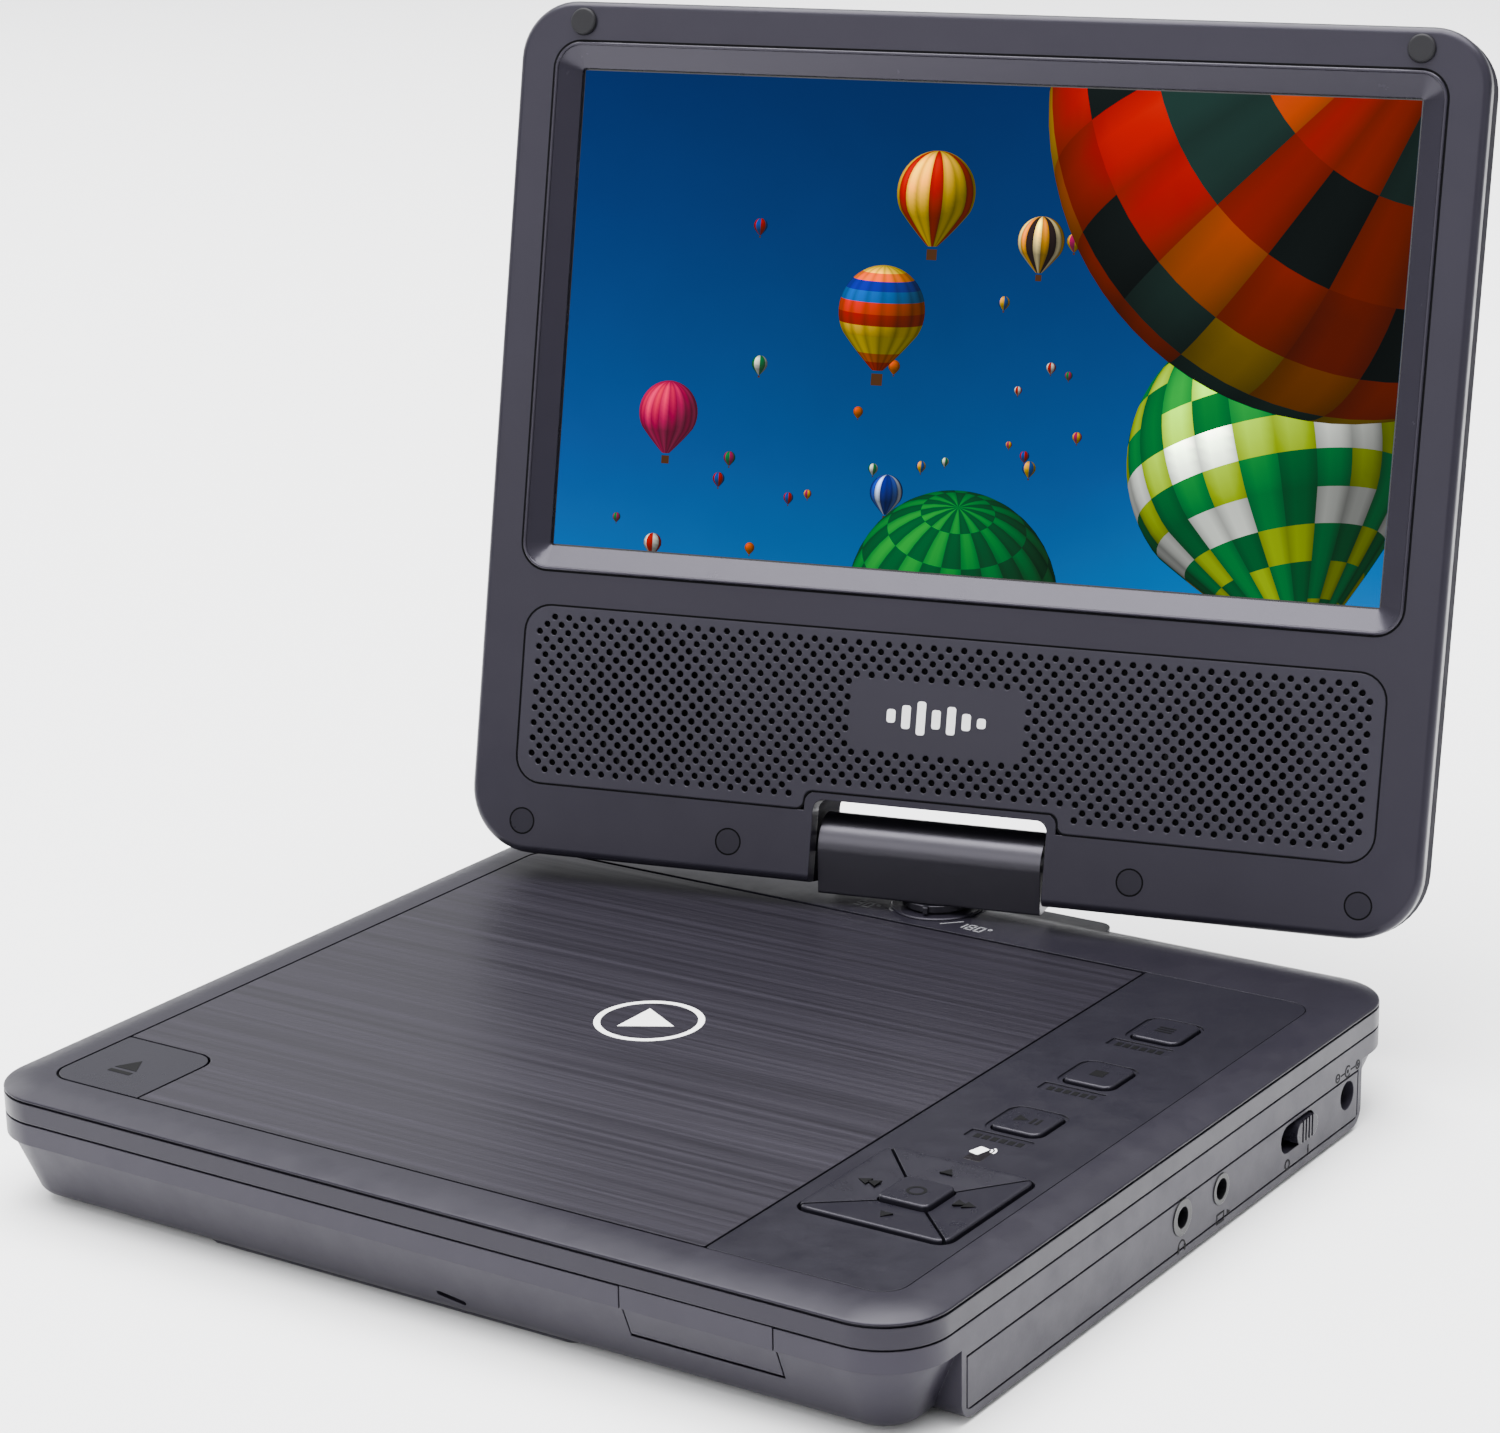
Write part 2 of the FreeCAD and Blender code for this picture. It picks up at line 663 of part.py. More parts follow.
def pin_holes():
    holes = []
    for x in LID_LUG_X:
        holes.append(rod(LID_PIN_R, V(x - LID_PIN_L / 2, LID_HINGE_Y, LID_HINGE_Z),
                         V(x + LID_PIN_L / 2, LID_HINGE_Y, LID_HINGE_Z)))
    return solids(holes)


def hinge_pins():
    return solids([rod(LID_PIN_R, V(x - LID_PIN_L / 2, LID_HINGE_Y, LID_HINGE_Z),
                       V(x + LID_PIN_L / 2, LID_HINGE_Y, LID_HINGE_Z)) for x in LID_LUG_X])


# ---- disc lid, release button and catch ----------------------------------
def lid_outline(z0, z1, notch_r):
    """Plan of the disc lid: rounded outer corners, with the button's corner left out."""
    x0 = -POCKET_X + PANEL_GAP
    y0 = -POCKET_Y + PANEL_GAP
    r = POCKET_R - PANEL_GAP
    small = PANEL_GAP
    plate = rounded_block(x0, SPLIT_X - PANEL_GAP / 2, y0, POCKET_Y - LID_REAR_GAP, z0, z1,
                          (small, small, small, r))
    corner = rounded_block(x0 - WALL, x0 + BUTTON_W + PANEL_GAP, y0 - WALL,
                           y0 + BUTTON_D + PANEL_GAP, z0, z1,
                           (small, small, notch_r, small))
    return plate.cut(corner)


def disc_lid():
    plate = lid_outline(LID_BOTTOM_Z, PANEL_Z - LID_SKIN_T, PANEL_GAP)
    reach = LID_PIN_L / 2 + MOVING
    for x in LID_LUG_X:
        start = V(x - reach, LID_HINGE_Y, LID_HINGE_Z)
        end = V(x + reach, LID_HINGE_Y, LID_HINGE_Z)
        plate = plate.cut(rod(LID_PIN_R + MOVING, start, end))
    plate = plate.cut(box(-POCKET_X, SPLIT_X, LID_HINGE_Y + LID_PIN_R, POCKET_Y,
                          LID_BOTTOM_Z, LID_BOTTOM_Z + LID_REAR_RELIEF))
    lugs = []
    half = LID_LUG_L / 2
    for x in LID_LUG_X:
        lugs.append(rod(LID_LUG_R, V(x - half, LID_HINGE_Y, LID_HINGE_Z),
                        V(x + half, LID_HINGE_Y, LID_HINGE_Z)))
    y0 = -POCKET_Y + PANEL_GAP
    hook = box(CATCH_X - CATCH_W / 2, CATCH_X + CATCH_W / 2, y0, y0 + CATCH_T,
               CATCH_Z0, LID_BOTTOM_Z)
    lid = joined([plate, hook] + lugs)
    lid = lid.common(box(-HALF_WIDTH, HALF_WIDTH, FRONT_Y, REAR_Y, 0, PANEL_Z - LID_SKIN_T))
    for x in LID_LUG_X:
        lid = lid.cut(rod(LID_PIN_R + RUNNING, V(x - half, LID_HINGE_Y, LID_HINGE_Z),
                          V(x + half, LID_HINGE_Y, LID_HINGE_Z)))
    return lid


def disc_lid_skin():
    return lid_outline(PANEL_Z - LID_SKIN_T, PANEL_Z, BUTTON_R + PANEL_GAP)


def button_corner():
    return -POCKET_X + PANEL_GAP, -POCKET_Y + PANEL_GAP


def open_button():
    x0, y0 = button_corner()
    cap = rounded_block(x0, x0 + BUTTON_W, y0, y0 + BUTTON_D, PANEL_Z - BUTTON_T, PANEL_Z,
                        (POCKET_R - PANEL_GAP, PANEL_GAP, BUTTON_R, PANEL_GAP))
    stem = box(BUTTON_STEM_X, BUTTON_STEM_X + BUTTON_STEM, BUTTON_STEM_Y,
               BUTTON_STEM_Y + BUTTON_STEM, BUTTON_STEM_Z, PANEL_Z - BUTTON_T)
    return joined([cap, stem])


def button_space():
    x0, y0 = button_corner()
    well = rounded_block(x0 - PANEL_GAP, x0 + BUTTON_W + PANEL_GAP, y0 - PANEL_GAP,
                         y0 + BUTTON_D + PANEL_GAP, PANEL_Z - BUTTON_T - BUTTON_TRAVEL
                         - PANEL_GAP, PANEL_Z,
                         (POCKET_R, PANEL_GAP, BUTTON_R, PANEL_GAP))
    shaft = box(BUTTON_STEM_X - MOVING, BUTTON_STEM_X + BUTTON_STEM + MOVING,
                BUTTON_STEM_Y - MOVING, BUTTON_STEM_Y + BUTTON_STEM + MOVING, SEAM_Z, PANEL_Z)
    return [well, shaft]


def latch_slider():
    y0 = -POCKET_Y + PANEL_GAP + CATCH_T + MOVING
    return box(BUTTON_STEM_X, CATCH_X + CATCH_W / 2, y0, y0 + CATCH_D, CATCH_Z0, CATCH_Z1)


def catch_guides():
    """Ribs below the ledge at both ends of the latch slider."""
    y0 = -POCKET_Y + PANEL_GAP + CATCH_T
    guides = []
    for x0 in (BUTTON_STEM_X - MOVING - WALL, CATCH_X + CATCH_W / 2 + MOVING):
        guides.append(box(x0, x0 + WALL, y0, y0 + CATCH_D + BUTTON_TRAVEL, CATCH_Z0, LEDGE_Z))
    return guides


# ---- key panel -----------------------------------------------------------
def key_panel():
    plate = rounded_block(SPLIT_X + PANEL_GAP / 2, POCKET_X - TRIM_GAP, -POCKET_Y + TRIM_GAP,
                          POCKET_Y - TRIM_GAP, POCKET_Z, PANEL_Z,
                          (PANEL_GAP, POCKET_R - TRIM_GAP, POCKET_R - TRIM_GAP, PANEL_GAP))
    cuts = []
    for y in KEY_Y:
        cuts.append(key_block(KEY_X, y, KEY_W, KEY_D, KEY_R, MOVING, POCKET_Z, PANEL_Z))
        cuts.append(key_block(KEY_X - RECESS_SHIFT, y, KEY_W, KEY_D, KEY_R, KEY_FLANGE,
                              PANEL_Z - LABEL_DEPTH, PANEL_Z))
        front = y - KEY_D / 2 - LABEL_SET
        cuts.append(key_block(KEY_X - LABEL_SHIFT, front, LABEL_W, LABEL_D, LABEL_DEPTH,
                              0, PANEL_Z - LABEL_DEPTH, PANEL_Z))
    cuts.append(key_block(KEY_X, PAD_Y, PAD_W, PAD_D, PAD_R, PAD_SPLIT, POCKET_Z, PANEL_Z))
    cuts.append(ir_block(0))
    return plate.cut(solids(cuts))


def ir_block(gap):
    return key_block(KEY_X, IR_Y, IR_W, IR_D, LABEL_DEPTH, gap, PANEL_Z - IR_T, PANEL_Z)


def key_block(x, y, width, depth, radius, grow, z0, z1):
    w = width / 2 + grow
    d = depth / 2 + grow
    return rounded_block(x - w, x + w, y - d, y + d, z0, z1, radius + grow)


def dome_top():
    return KEY_BOARD_Z + BOARD + DOME_H


def key_stem(x, y, z_top):
    z0 = dome_top() + KEY_TRAVEL + RUNNING * 2
    return rod(STEM_R, V(x, y, z0), V(x, y, z_top))


def key(y):
    top = PANEL_Z + KEY_PROUD
    cap = key_block(KEY_X, y, KEY_W, KEY_D, KEY_R, 0, POCKET_Z - MOVING, top)
    cap = cap.makeFillet(KEY_PROUD, edges_at(cap, 2, top))
    z1 = POCKET_Z - MOVING
    flange = key_block(KEY_X, y, KEY_W, KEY_D, KEY_R, KEY_FLANGE, z1 - KEY_FLANGE_T, z1)
    return joined([cap, flange, key_stem(KEY_X, y, z1)])


def pad_ring():
    """The four-way pad before it is split: raised at its edges, dished to its middle."""
    top = PANEL_Z + PAD_PROUD
    pad = key_block(KEY_X, PAD_Y, PAD_W, PAD_D, PAD_R, 0, PAD_BOTTOM_Z, top)
    pad = pad.makeFillet(KEY_PROUD, edges_at(pad, 2, top))
    rim = KEY_FLANGE
    half = CENTRE_KEY / 2
    low = rounded_wire(KEY_X - half, KEY_X + half, PAD_Y - half, PAD_Y + half,
                       top - PAD_DISH, (CENTRE_R,) * 4)
    w = PAD_W / 2 - rim
    d = PAD_D / 2 - rim
    high = rounded_wire(KEY_X - w, KEY_X + w, PAD_Y - d, PAD_Y + d, top, (PAD_R - rim,) * 4)
    pad = pad.cut(tapered(low, high))
    hole = key_block(KEY_X, PAD_Y, CENTRE_KEY, CENTRE_KEY, CENTRE_R, MOVING, PAD_BOTTOM_Z,
                     top)
    return pad.cut(hole)


def pad_key(turn):
    """One quarter of the pad; turn 0 is the right-hand quarter."""
    w = PAD_W / 2 + 1
    d = PAD_D / 2 + 1
    corners = ((w, -d), (w, d), (-w, d), (-w, -d))
    a = corners[turn]
    b = corners[(turn + 1) % len(corners)]
    mid = V((a[0] + b[0]) / 2, (a[1] + b[1]) / 2, 0)
    shift = mid / mid.Length * (PAD_SPLIT / math.sqrt(2))
    z = PAD_BOTTOM_Z - 1
    base = V(KEY_X, PAD_Y, z) + shift
    points = [base, base + V(a[0], a[1], 0), base + V(b[0], b[1], 0)]
    wire = Part.makePolygon(points + points[:1])
    wedge = Part.Face(wire).extrude(V(0, 0, PAD_PROUD + PANEL_Z - z + 1))
    quarter = pad_ring().common(wedge)
    reach = (PAD_W / 2 + CENTRE_KEY / 2) / 2
    foot = V(KEY_X, PAD_Y, 0) + mid / mid.Length * reach
    return joined([quarter, key_stem(foot.x, foot.y, PAD_BOTTOM_Z)])


def centre_key():
    top = PANEL_Z + PAD_PROUD + CENTRE_PROUD
    cap = key_block(KEY_X, PAD_Y, CENTRE_KEY, CENTRE_KEY, CENTRE_R, 0, PAD_BOTTOM_Z, top)
    cap = cap.makeFillet(KEY_PROUD, edges_at(cap, 2, top))
    return joined([cap, key_stem(KEY_X, PAD_Y, PAD_BOTTOM_Z)])


def key_places():
    reach = (PAD_W / 2 + CENTRE_KEY / 2) / 2
    places = [(KEY_X, y) for y in KEY_Y]
    places += [(KEY_X, PAD_Y), (KEY_X + reach, PAD_Y), (KEY_X - reach, PAD_Y),
               (KEY_X, PAD_Y + reach), (KEY_X, PAD_Y - reach)]
    return places


def key_board_corners():
    x0 = KEY_BOARD_X0 + KEY_BOSS_IN
    x1 = KEY_BOARD_X1 - KEY_BOSS_IN
    y = KEY_BOARD_Y - KEY_BOSS_IN
    return [(x0, -y), (x1, -y), (x1, y), (x0, y)]


def key_board():
    board = box(KEY_BOARD_X0, KEY_BOARD_X1, -KEY_BOARD_Y, KEY_BOARD_Y, KEY_BOARD_Z,
                KEY_BOARD_Z + BOARD)
    domes = [rod(DOME_R, V(x, y, KEY_BOARD_Z + BOARD), V(x, y, dome_top()))
             for x, y in key_places()]
    return joined([board] + domes)


# ---- sockets and switch --------------------------------------------------
def plug_jack(y, ring_r):
    inner = HALF_WIDTH - WALL
    board_top = BOARD_Z + BOARD
    half = JACK_BODY_W / 2
    body = box(inner - JACK_BODY_L, inner, y - half, y + half, board_top, JACK_Z + half)
    mouth = HALF_WIDTH + RING_PROUD
    ring = rod(ring_r, V(inner, y, JACK_Z), V(mouth, y, JACK_Z))
    bore = rod(PLUG_R, V(mouth - PLUG_DEPTH, y, JACK_Z), V(mouth, y, JACK_Z))
    return joined([body, ring]).cut(bore)


def dc_jack():
    inner = HALF_WIDTH - WALL
    board_top = BOARD_Z + BOARD
    half = DC_BODY_W / 2
    body = box(inner - DC_DEPTH - WALL, inner, DC_Y - half, DC_Y + half - JACK_LINE_IN,
               board_top, JACK_Z + half - WALL / 2)
    bore = rod(DC_R, V(inner - DC_DEPTH, DC_Y, JACK_Z), V(inner, DC_Y, JACK_Z))
    pin = rod(DC_PIN_R, V(inner - DC_DEPTH - WALL / 2, DC_Y, JACK_Z), V(inner, DC_Y, JACK_Z))
    return joined([body.cut(bore), pin])


def switch_body():
    inner = HALF_WIDTH - WALL
    half = SWITCH_BODY_L / 2
    body = box(inner - SWITCH_BODY_D, inner - MOVING, SWITCH_Y - half, SWITCH_Y + half,
               BOARD_Z + BOARD, JACK_Z + KNOB_H)
    track = slot_block(SWITCH_Y, SWITCH_SLOT_L, SWITCH_SLOT_H, inner - WALL, inner)
    return body.cut(track)


def power_knob():
    """Slide knob at the rear end of its slot, with grip ribs."""
    inner = HALF_WIDTH - WALL
    rear = SWITCH_Y + SWITCH_SLOT_L / 2 - MOVING
    middle = rear - KNOB_L / 2
    face = HALF_WIDTH + KNOB_PROUD
    knob = slot_block(middle, KNOB_L, KNOB_H, inner - WALL + MOVING, face)
    ribs = 4
    pitch = (KNOB_L - KNOB_H / 2) / (ribs + 1)
    grooves = []
    for i in range(ribs):
        y = middle + (i - (ribs - 1) / 2) * pitch
        grooves.append(box(face - KNOB_PROUD / 2, face + 1, y - pitch / 4, y + pitch / 4,
                           JACK_Z - KNOB_H, JACK_Z + KNOB_H))
    return knob.cut(solids(grooves))


def port_board_z():
    return SOCKET_Z - SOCKET_H / 2 - BOARD


def port_board():
    half = PORT_BOARD_W / 2
    return box(SOCKET_X - half, SOCKET_X + half, PORT_BOARD_Y0, PORT_BOARD_Y1,
               port_board_z(), port_board_z() + BOARD)


def usb_socket():
    w = SOCKET_W / 2
    h = SOCKET_H / 2
    y0 = FRONT_Y + tuck_at(SOCKET_Z - h) + WALL + SOCKET_GAP
    y1 = y0 + SOCKET_L
    shell = box(SOCKET_X - w, SOCKET_X + w, y0, y1, SOCKET_Z - h, SOCKET_Z + h)
    hollow = box(SOCKET_X - w + SOCKET_T, SOCKET_X + w - SOCKET_T, y0, y1 - SOCKET_T,
                 SOCKET_Z - h + SOCKET_T, SOCKET_Z + h - SOCKET_T)
    return shell.cut(hollow)


# ---- drive ---------------------------------------------------------------
def damper_places():
    x0 = CHASSIS_X0 + DAMPER_IN
    x1 = CHASSIS_X1 - DAMPER_IN
    y = CHASSIS_HALF_D - DAMPER_IN
    return [(x0, -y), (x1, -y), (x1, y), (x0, y)]


def drive_chassis():
    top = CHASSIS_Z + CHASSIS_T
    plate = rounded_block(CHASSIS_X0, CHASSIS_X1, -CHASSIS_HALF_D, CHASSIS_HALF_D, CHASSIS_Z,
                          top, CHASSIS_R)
    half = TOWER_W / 2 + 1
    cuts = [box(SLED_X - SLED_IN - TOWER_L / 2 - 1, SLED_X + SLED_OUT + TOWER_L / 2 + 1,
                -half, half, CHASSIS_Z, top)]
    cuts.append(rod(SPINDLE_R * 3, V(DISC_X, 0, CHASSIS_Z), V(DISC_X, 0, top)))
    cuts += [rod(DAMPER_WAIST_R, V(x, y, CHASSIS_Z), V(x, y, top)) for x, y in damper_places()]
    plate = plate.cut(solids(cuts))
    blocks = []
    for side in (-1, 1):
        y = side * ROD_Y
        for x0 in (ROD_X0, ROD_X1 - ROD_END):
            block = box(x0, x0 + ROD_END, y - ROD_R * 2, y + ROD_R * 2, ROD_Z - ROD_R * 1.5,
                        CHASSIS_Z)
            blocks.append(block.cut(rod(ROD_R, V(x0, y, ROD_Z), V(x0 + ROD_END, y, ROD_Z))))
    stay = box(SCREW_X1 - ROD_END, SCREW_X1, SCREW_Y - SCREW_R * 1.5, SCREW_Y + SCREW_R * 1.5,
               SCREW_Z - SCREW_R * 1.5, CHASSIS_Z)
    stay = stay.cut(rod(SCREW_R + RUNNING, V(SCREW_X1 - ROD_END, SCREW_Y, SCREW_Z),
                        V(SCREW_X1, SCREW_Y, SCREW_Z)))
    return joined([plate, stay] + blocks)


def guide_rods():
    return solids([rod(ROD_R, V(ROD_X0, y, ROD_Z), V(ROD_X1, y, ROD_Z))
                   for y in (-ROD_Y, ROD_Y)])


def dampers():
    top = CHASSIS_Z + CHASSIS_T
    rings = []
    for x, y in damper_places():
        low = tube(DAMPER_R, DAMPER_POST_R, V(x, y, CHASSIS_Z - DAMPER_CAP), V(x, y, CHASSIS_Z))
        waist = tube(DAMPER_WAIST_R, DAMPER_POST_R, V(x, y, CHASSIS_Z), V(x, y, top))
        cap = tube(DAMPER_R, DAMPER_POST_R, V(x, y, top), V(x, y, top + DAMPER_CAP))
        rings.append(joined([low, waist, cap]))
    return solids(rings)


def spindle_motor():
    body = rod(MOTOR_R, V(DISC_X, 0, MOTOR_Z), V(DISC_X, 0, CHASSIS_Z))
    bore = rod(SPINDLE_R + RUNNING, V(DISC_X, 0, MOTOR_Z + WALL), V(DISC_X, 0, CHASSIS_Z))
    return body.cut(bore)


def turntable():
    start = V(DISC_X, 0, MOTOR_Z + WALL + MOVING)
    table_top = TABLE_Z + TABLE_T
    shaft = rod(SPINDLE_R, start, V(DISC_X, 0, TABLE_Z))
    table = rod(TABLE_R, V(DISC_X, 0, TABLE_Z), V(DISC_X, 0, table_top))
    hub = rod(HUB_R, V(DISC_X, 0, table_top), V(DISC_X, 0, table_top + HUB_H))
    hub = hub.makeChamfer(HUB_BALL_R, edges_at(hub, 2, table_top + HUB_H))
    balls = []
    for i in range(3):
        a = math.radians(90 + 120 * i)
        reach = HUB_R - HUB_BALL_R / 2
        balls.append(Part.makeSphere(HUB_BALL_R, V(DISC_X + reach * math.cos(a),
                                                   reach * math.sin(a),
                                                   table_top + HUB_H / 2)))
    return joined([shaft, table, hub] + balls)


def pickup_sled():
    half = SLED_L / 2
    body = box(SLED_X - half, SLED_X + half, -SLED_HALF_D, SLED_HALF_D, SLED_Z, SLED_Z + SLED_H)
    tower = box(SLED_X - TOWER_L / 2, SLED_X + TOWER_L / 2, -TOWER_W / 2, TOWER_W / 2,
                SLED_Z + SLED_H, TOWER_TOP_Z)
    nut = box(SLED_X - half / 2, SLED_X + half / 2, SCREW_Y + SCREW_R + MOVING, -SLED_HALF_D,
              SLED_Z, SLED_Z + SCREW_R * 2)
    sled = joined([body, tower, nut])
    bores = [rod(ROD_R + RUNNING, V(SLED_X - half, y, ROD_Z), V(SLED_X + half, y, ROD_Z))
             for y in (-ROD_Y, ROD_Y)]
    return sled.cut(solids(bores))


def pickup_lens():
    return rod(LENS_R, V(SLED_X, 0, TOWER_TOP_Z), V(SLED_X, 0, TOWER_TOP_Z + LENS_H))


def sled_motor_end():
    return ROD_X0 - ROD_END


def sled_motor():
    end = sled_motor_end()
    return rod(SLED_MOTOR_R, V(end - SLED_MOTOR_L, SCREW_Y, SCREW_Z), V(end, SCREW_Y, SCREW_Z))


def motor_strap():
    """Clamp that hangs the feed motor from the chassis."""
    end = sled_motor_end() - SLED_MOTOR_L / 4
    start = end - SLED_MOTOR_L / 2
    outer = SLED_MOTOR_R + BOARD / 2
    ring = tube(outer, SLED_MOTOR_R, V(start, SCREW_Y, SCREW_Z), V(end, SCREW_Y, SCREW_Z))
    web = box(start, end, SCREW_Y - outer, SCREW_Y + outer, SCREW_Z, CHASSIS_Z)
    web = web.cut(rod(SLED_MOTOR_R, V(start, SCREW_Y, SCREW_Z), V(end, SCREW_Y, SCREW_Z)))
    keep = box(start, end, SCREW_Y - outer, SCREW_Y + outer, FLOOR_Z + MOVING, CHASSIS_Z)
    return joined([ring, web]).common(keep)


def lead_screw():
    start = sled_motor_end() + SLED_MOTOR_GAP
    return rod(SCREW_R, V(start, SCREW_Y, SCREW_Z), V(SCREW_X1, SCREW_Y, SCREW_Z))


# ---- battery, boards, feet, screws ---------------------------------------
def battery_pack():
    pack = box(BATTERY_X0, BATTERY_X1, BATTERY_Y0, BATTERY_Y1, FLOOR_Z, FLOOR_Z + BATTERY_H)
    along = [e for e in pack.Edges if e.BoundBox.XLength > 1]
    return pack.makeFillet(WALL, along)


def battery_cover():
    plate = rounded_block(BATTERY_X0 - COVER_EDGE, BATTERY_X1 + COVER_EDGE,
                          BATTERY_Y0 - COVER_FRONT_EDGE, BATTERY_Y1 + COVER_EDGE,
                          CASE_Z - COVER_T, CASE_Z, COVER_EDGE)
    low = edges_at(plate, 2, CASE_Z - COVER_T)
    plate = plate.makeChamfer(COVER_T / 2, low)
    tongue = box(BATTERY_X0, BATTERY_X1, BATTERY_Y0, BATTERY_Y1, CASE_Z, FLOOR_Z)
    return joined([plate, tongue])


def main_board():
    board = box(BOARD_X0, BOARD_X1, BOARD_Y0, BOARD_Y1, BOARD_Z, BOARD_Z + BOARD)
    cuts = [rod(DAMPER_POST_R + TRIM_GAP, V(x, y, BOARD_Z), V(x, y, BOARD_Z + BOARD))
            for x, y in damper_places()]
    board = board.cut(solids(cuts))
    top = BOARD_Z + BOARD
    chips = [box(x - side / 2, x + side / 2, y - side / 2, y + side / 2, top, top + CHIP_H)
             for x, y, side in CHIPS]
    return joined([board] + chips)


def feet():
    pads = []
    for x, y in FEET:
        pad = rod(FOOT_R, V(x, y, 0), V(x, y, CASE_Z))
        pads.append(pad.makeChamfer(FOOT_H / 4, edges_at(pad, 2, 0)))
    return solids(pads)


def case_screws():
    screws = []
    for x, y in CASE_SCREWS:
        head_top = CASE_Z + SCREW_HEAD_H
        head = rod(SCREW_HEAD_R, V(x, y, CASE_Z), V(x, y, head_top))
        cross = box(x - SCREW_HEAD_R / 2, x + SCREW_HEAD_R / 2, y - TRIM_GAP, y + TRIM_GAP,
                    CASE_Z, CASE_Z + TRIM_GAP * 2)
        turned = cross.copy()
        turned.rotate(V(x, y, 0), Z_AXIS, 90)
        shank = rod(SCREW_SHANK_R, V(x, y, head_top), V(x, y, head_top + CASE_SCREW_L))
        screws.append(joined([head, shank]).cut(cross).cut(turned))
    return solids(screws)


# ---- swivel hinge --------------------------------------------------------
def on_swivel(shape):
    """Turns a piece drawn about the tilt axis to the way the screen faces."""
    shape = shape.copy()
    shape.rotate(V(0, 0, 0), Z_AXIS, SWIVEL_DEG)
    shape.translate(V(0, HINGE_Y, HINGE_Z))
    return shape


def on_screen(shape):
    """Leans and turns a piece of the upright screen half into place."""
    shape = shape.copy()
    shape.rotate(V(0, 0, 0), X_AXIS, -LEAN_DEG)
    return on_swivel(shape)


def swivel_bush():
    sleeve = tube(BUSH_R, POST_R + RUNNING, V(0, HINGE_Y, LEDGE_Z), V(0, HINGE_Y, PANEL_Z))
    dial = tube(DIAL_R, POST_R + RUNNING, V(0, HINGE_Y, PANEL_Z),
                V(0, HINGE_Y, PANEL_Z + DIAL_T))
    dial = dial.makeChamfer(DIAL_T / 2, [e for e in edges_at(dial, 2, PANEL_Z + DIAL_T)
                                         if e.Curve.Radius > POST_R + 1])
    return joined([sleeve, dial])


def barrel_bottom():
    return -BARREL_DROP


def swivel_post():
    z0 = POST_BOTTOM_Z - HINGE_Z
    bottom = barrel_bottom()
    post = rod(POST_R, V(0, 0, z0), V(0, 0, bottom))
    collar_z = bottom - COLLAR_H
    collar = rod(COLLAR_R, V(0, 0, collar_z), V(0, 0, bottom))
    neck = rod(NECK_R, V(0, 0, bottom), V(0, 0, bottom + POST_INTO_BARREL))
    tip = -COLLAR_R - POINTER_L
    pointer = box(-POINTER_W / 2, POINTER_W / 2, tip + COLLAR_H, 0, collar_z, bottom)
    post = joined([post, collar, neck, pointer])
    post = post.cut(rod(POST_BORE_R, V(0, 0, z0), V(0, 0, bottom + POST_INTO_BARREL)))
    return on_swivel(post)


def swivel_nut():
    top = LEDGE_Z - NUT_GAP - HINGE_Z
    ring = tube(NUT_R, POST_R, V(0, 0, top - NUT_T), V(0, 0, top))
    return on_swivel(ring)


def barrel_block(half_l, r, drop):
    top = rod(r, V(-half_l, 0, 0), V(half_l, 0, 0))
    lower = box(-half_l, half_l, -r, r, -drop, 0)
    return joined([top, lower])


def hinge_barrel():
    barrel = barrel_block(BARREL_HALF_L, BARREL_R, BARREL_DROP)
    low = [e for e in edges_at(barrel, 2, -BARREL_DROP) if e.BoundBox.XLength > BARREL_R * 3]
    barrel = barrel.makeFillet(BARREL_EDGE_R, low)
    hollow = barrel_block(BARREL_HALF_L - BARREL_WALL, BARREL_R - BARREL_WALL,
                          BARREL_DROP - BARREL_WALL)
    barrel = barrel.cut(hollow)
    barrel = barrel.cut(rod(SHAFT_R, V(-SHAFT_OUT, 0, 0), V(SHAFT_OUT, 0, 0)))
    barrel = barrel.cut(rod(NECK_R, V(0, 0, -BARREL_DROP), V(0, 0, 0)))
    return on_swivel(barrel)


def tilt_shafts():
    return on_swivel(solids([rod(SHAFT_R, V(side * SHAFT_IN, 0, 0), V(side * SHAFT_OUT, 0, 0))
                             for side in (-1, 1)]))


def shaft_brackets():
    """Blocks that anchor the inner ends of the tilt shafts in the barrel."""
    blocks = []
    inner = BARREL_R - BARREL_WALL
    for side in (-1, 1):
        x = side * SHAFT_IN
        block = box(min(x, x + side * LEAF_R), max(x, x + side * LEAF_R), -inner, inner,
                    -BARREL_DROP + BARREL_WALL, SHAFT_R + BARREL_WALL / 2)
        block = block.cut(rod(SHAFT_R, V(-SHAFT_OUT, 0, 0), V(SHAFT_OUT, 0, 0)))
        blocks.append(block.common(barrel_block(BARREL_HALF_L, inner, BARREL_DROP)))
    return on_swivel(solids(blocks))


def friction_washers():
    rings = []
    for side in (-1, 1):
        x0 = side * (LEAF_OUT + TRIM_GAP)
        rings.append(tube(WASHER_R, SHAFT_R, V(x0, 0, 0), V(x0 + side * WASHER_T, 0, 0)))
    return on_swivel(solids(rings))


# ---- screen half ---------------------------------------------------------
def upright_block(x0, x1, z0, z1, y0, y1, radii):
    """Block with its rounded outline in the plane of the screen."""
    block = rounded_block(x0, x1, z0, z1, -y1, -y0, radii)
    block.rotate(V(0, 0, 0), X_AXIS, 90)
    return block


def screen_block(inset, y0, y1):
    low = LID_BOTTOM_R - inset
    high = LID_TOP_R - inset
    return upright_block(-LID_HALF_W + inset, LID_HALF_W - inset, LID_BOTTOM + inset,
                         LID_TOP - inset, y0, y1, (low, low, high, high))


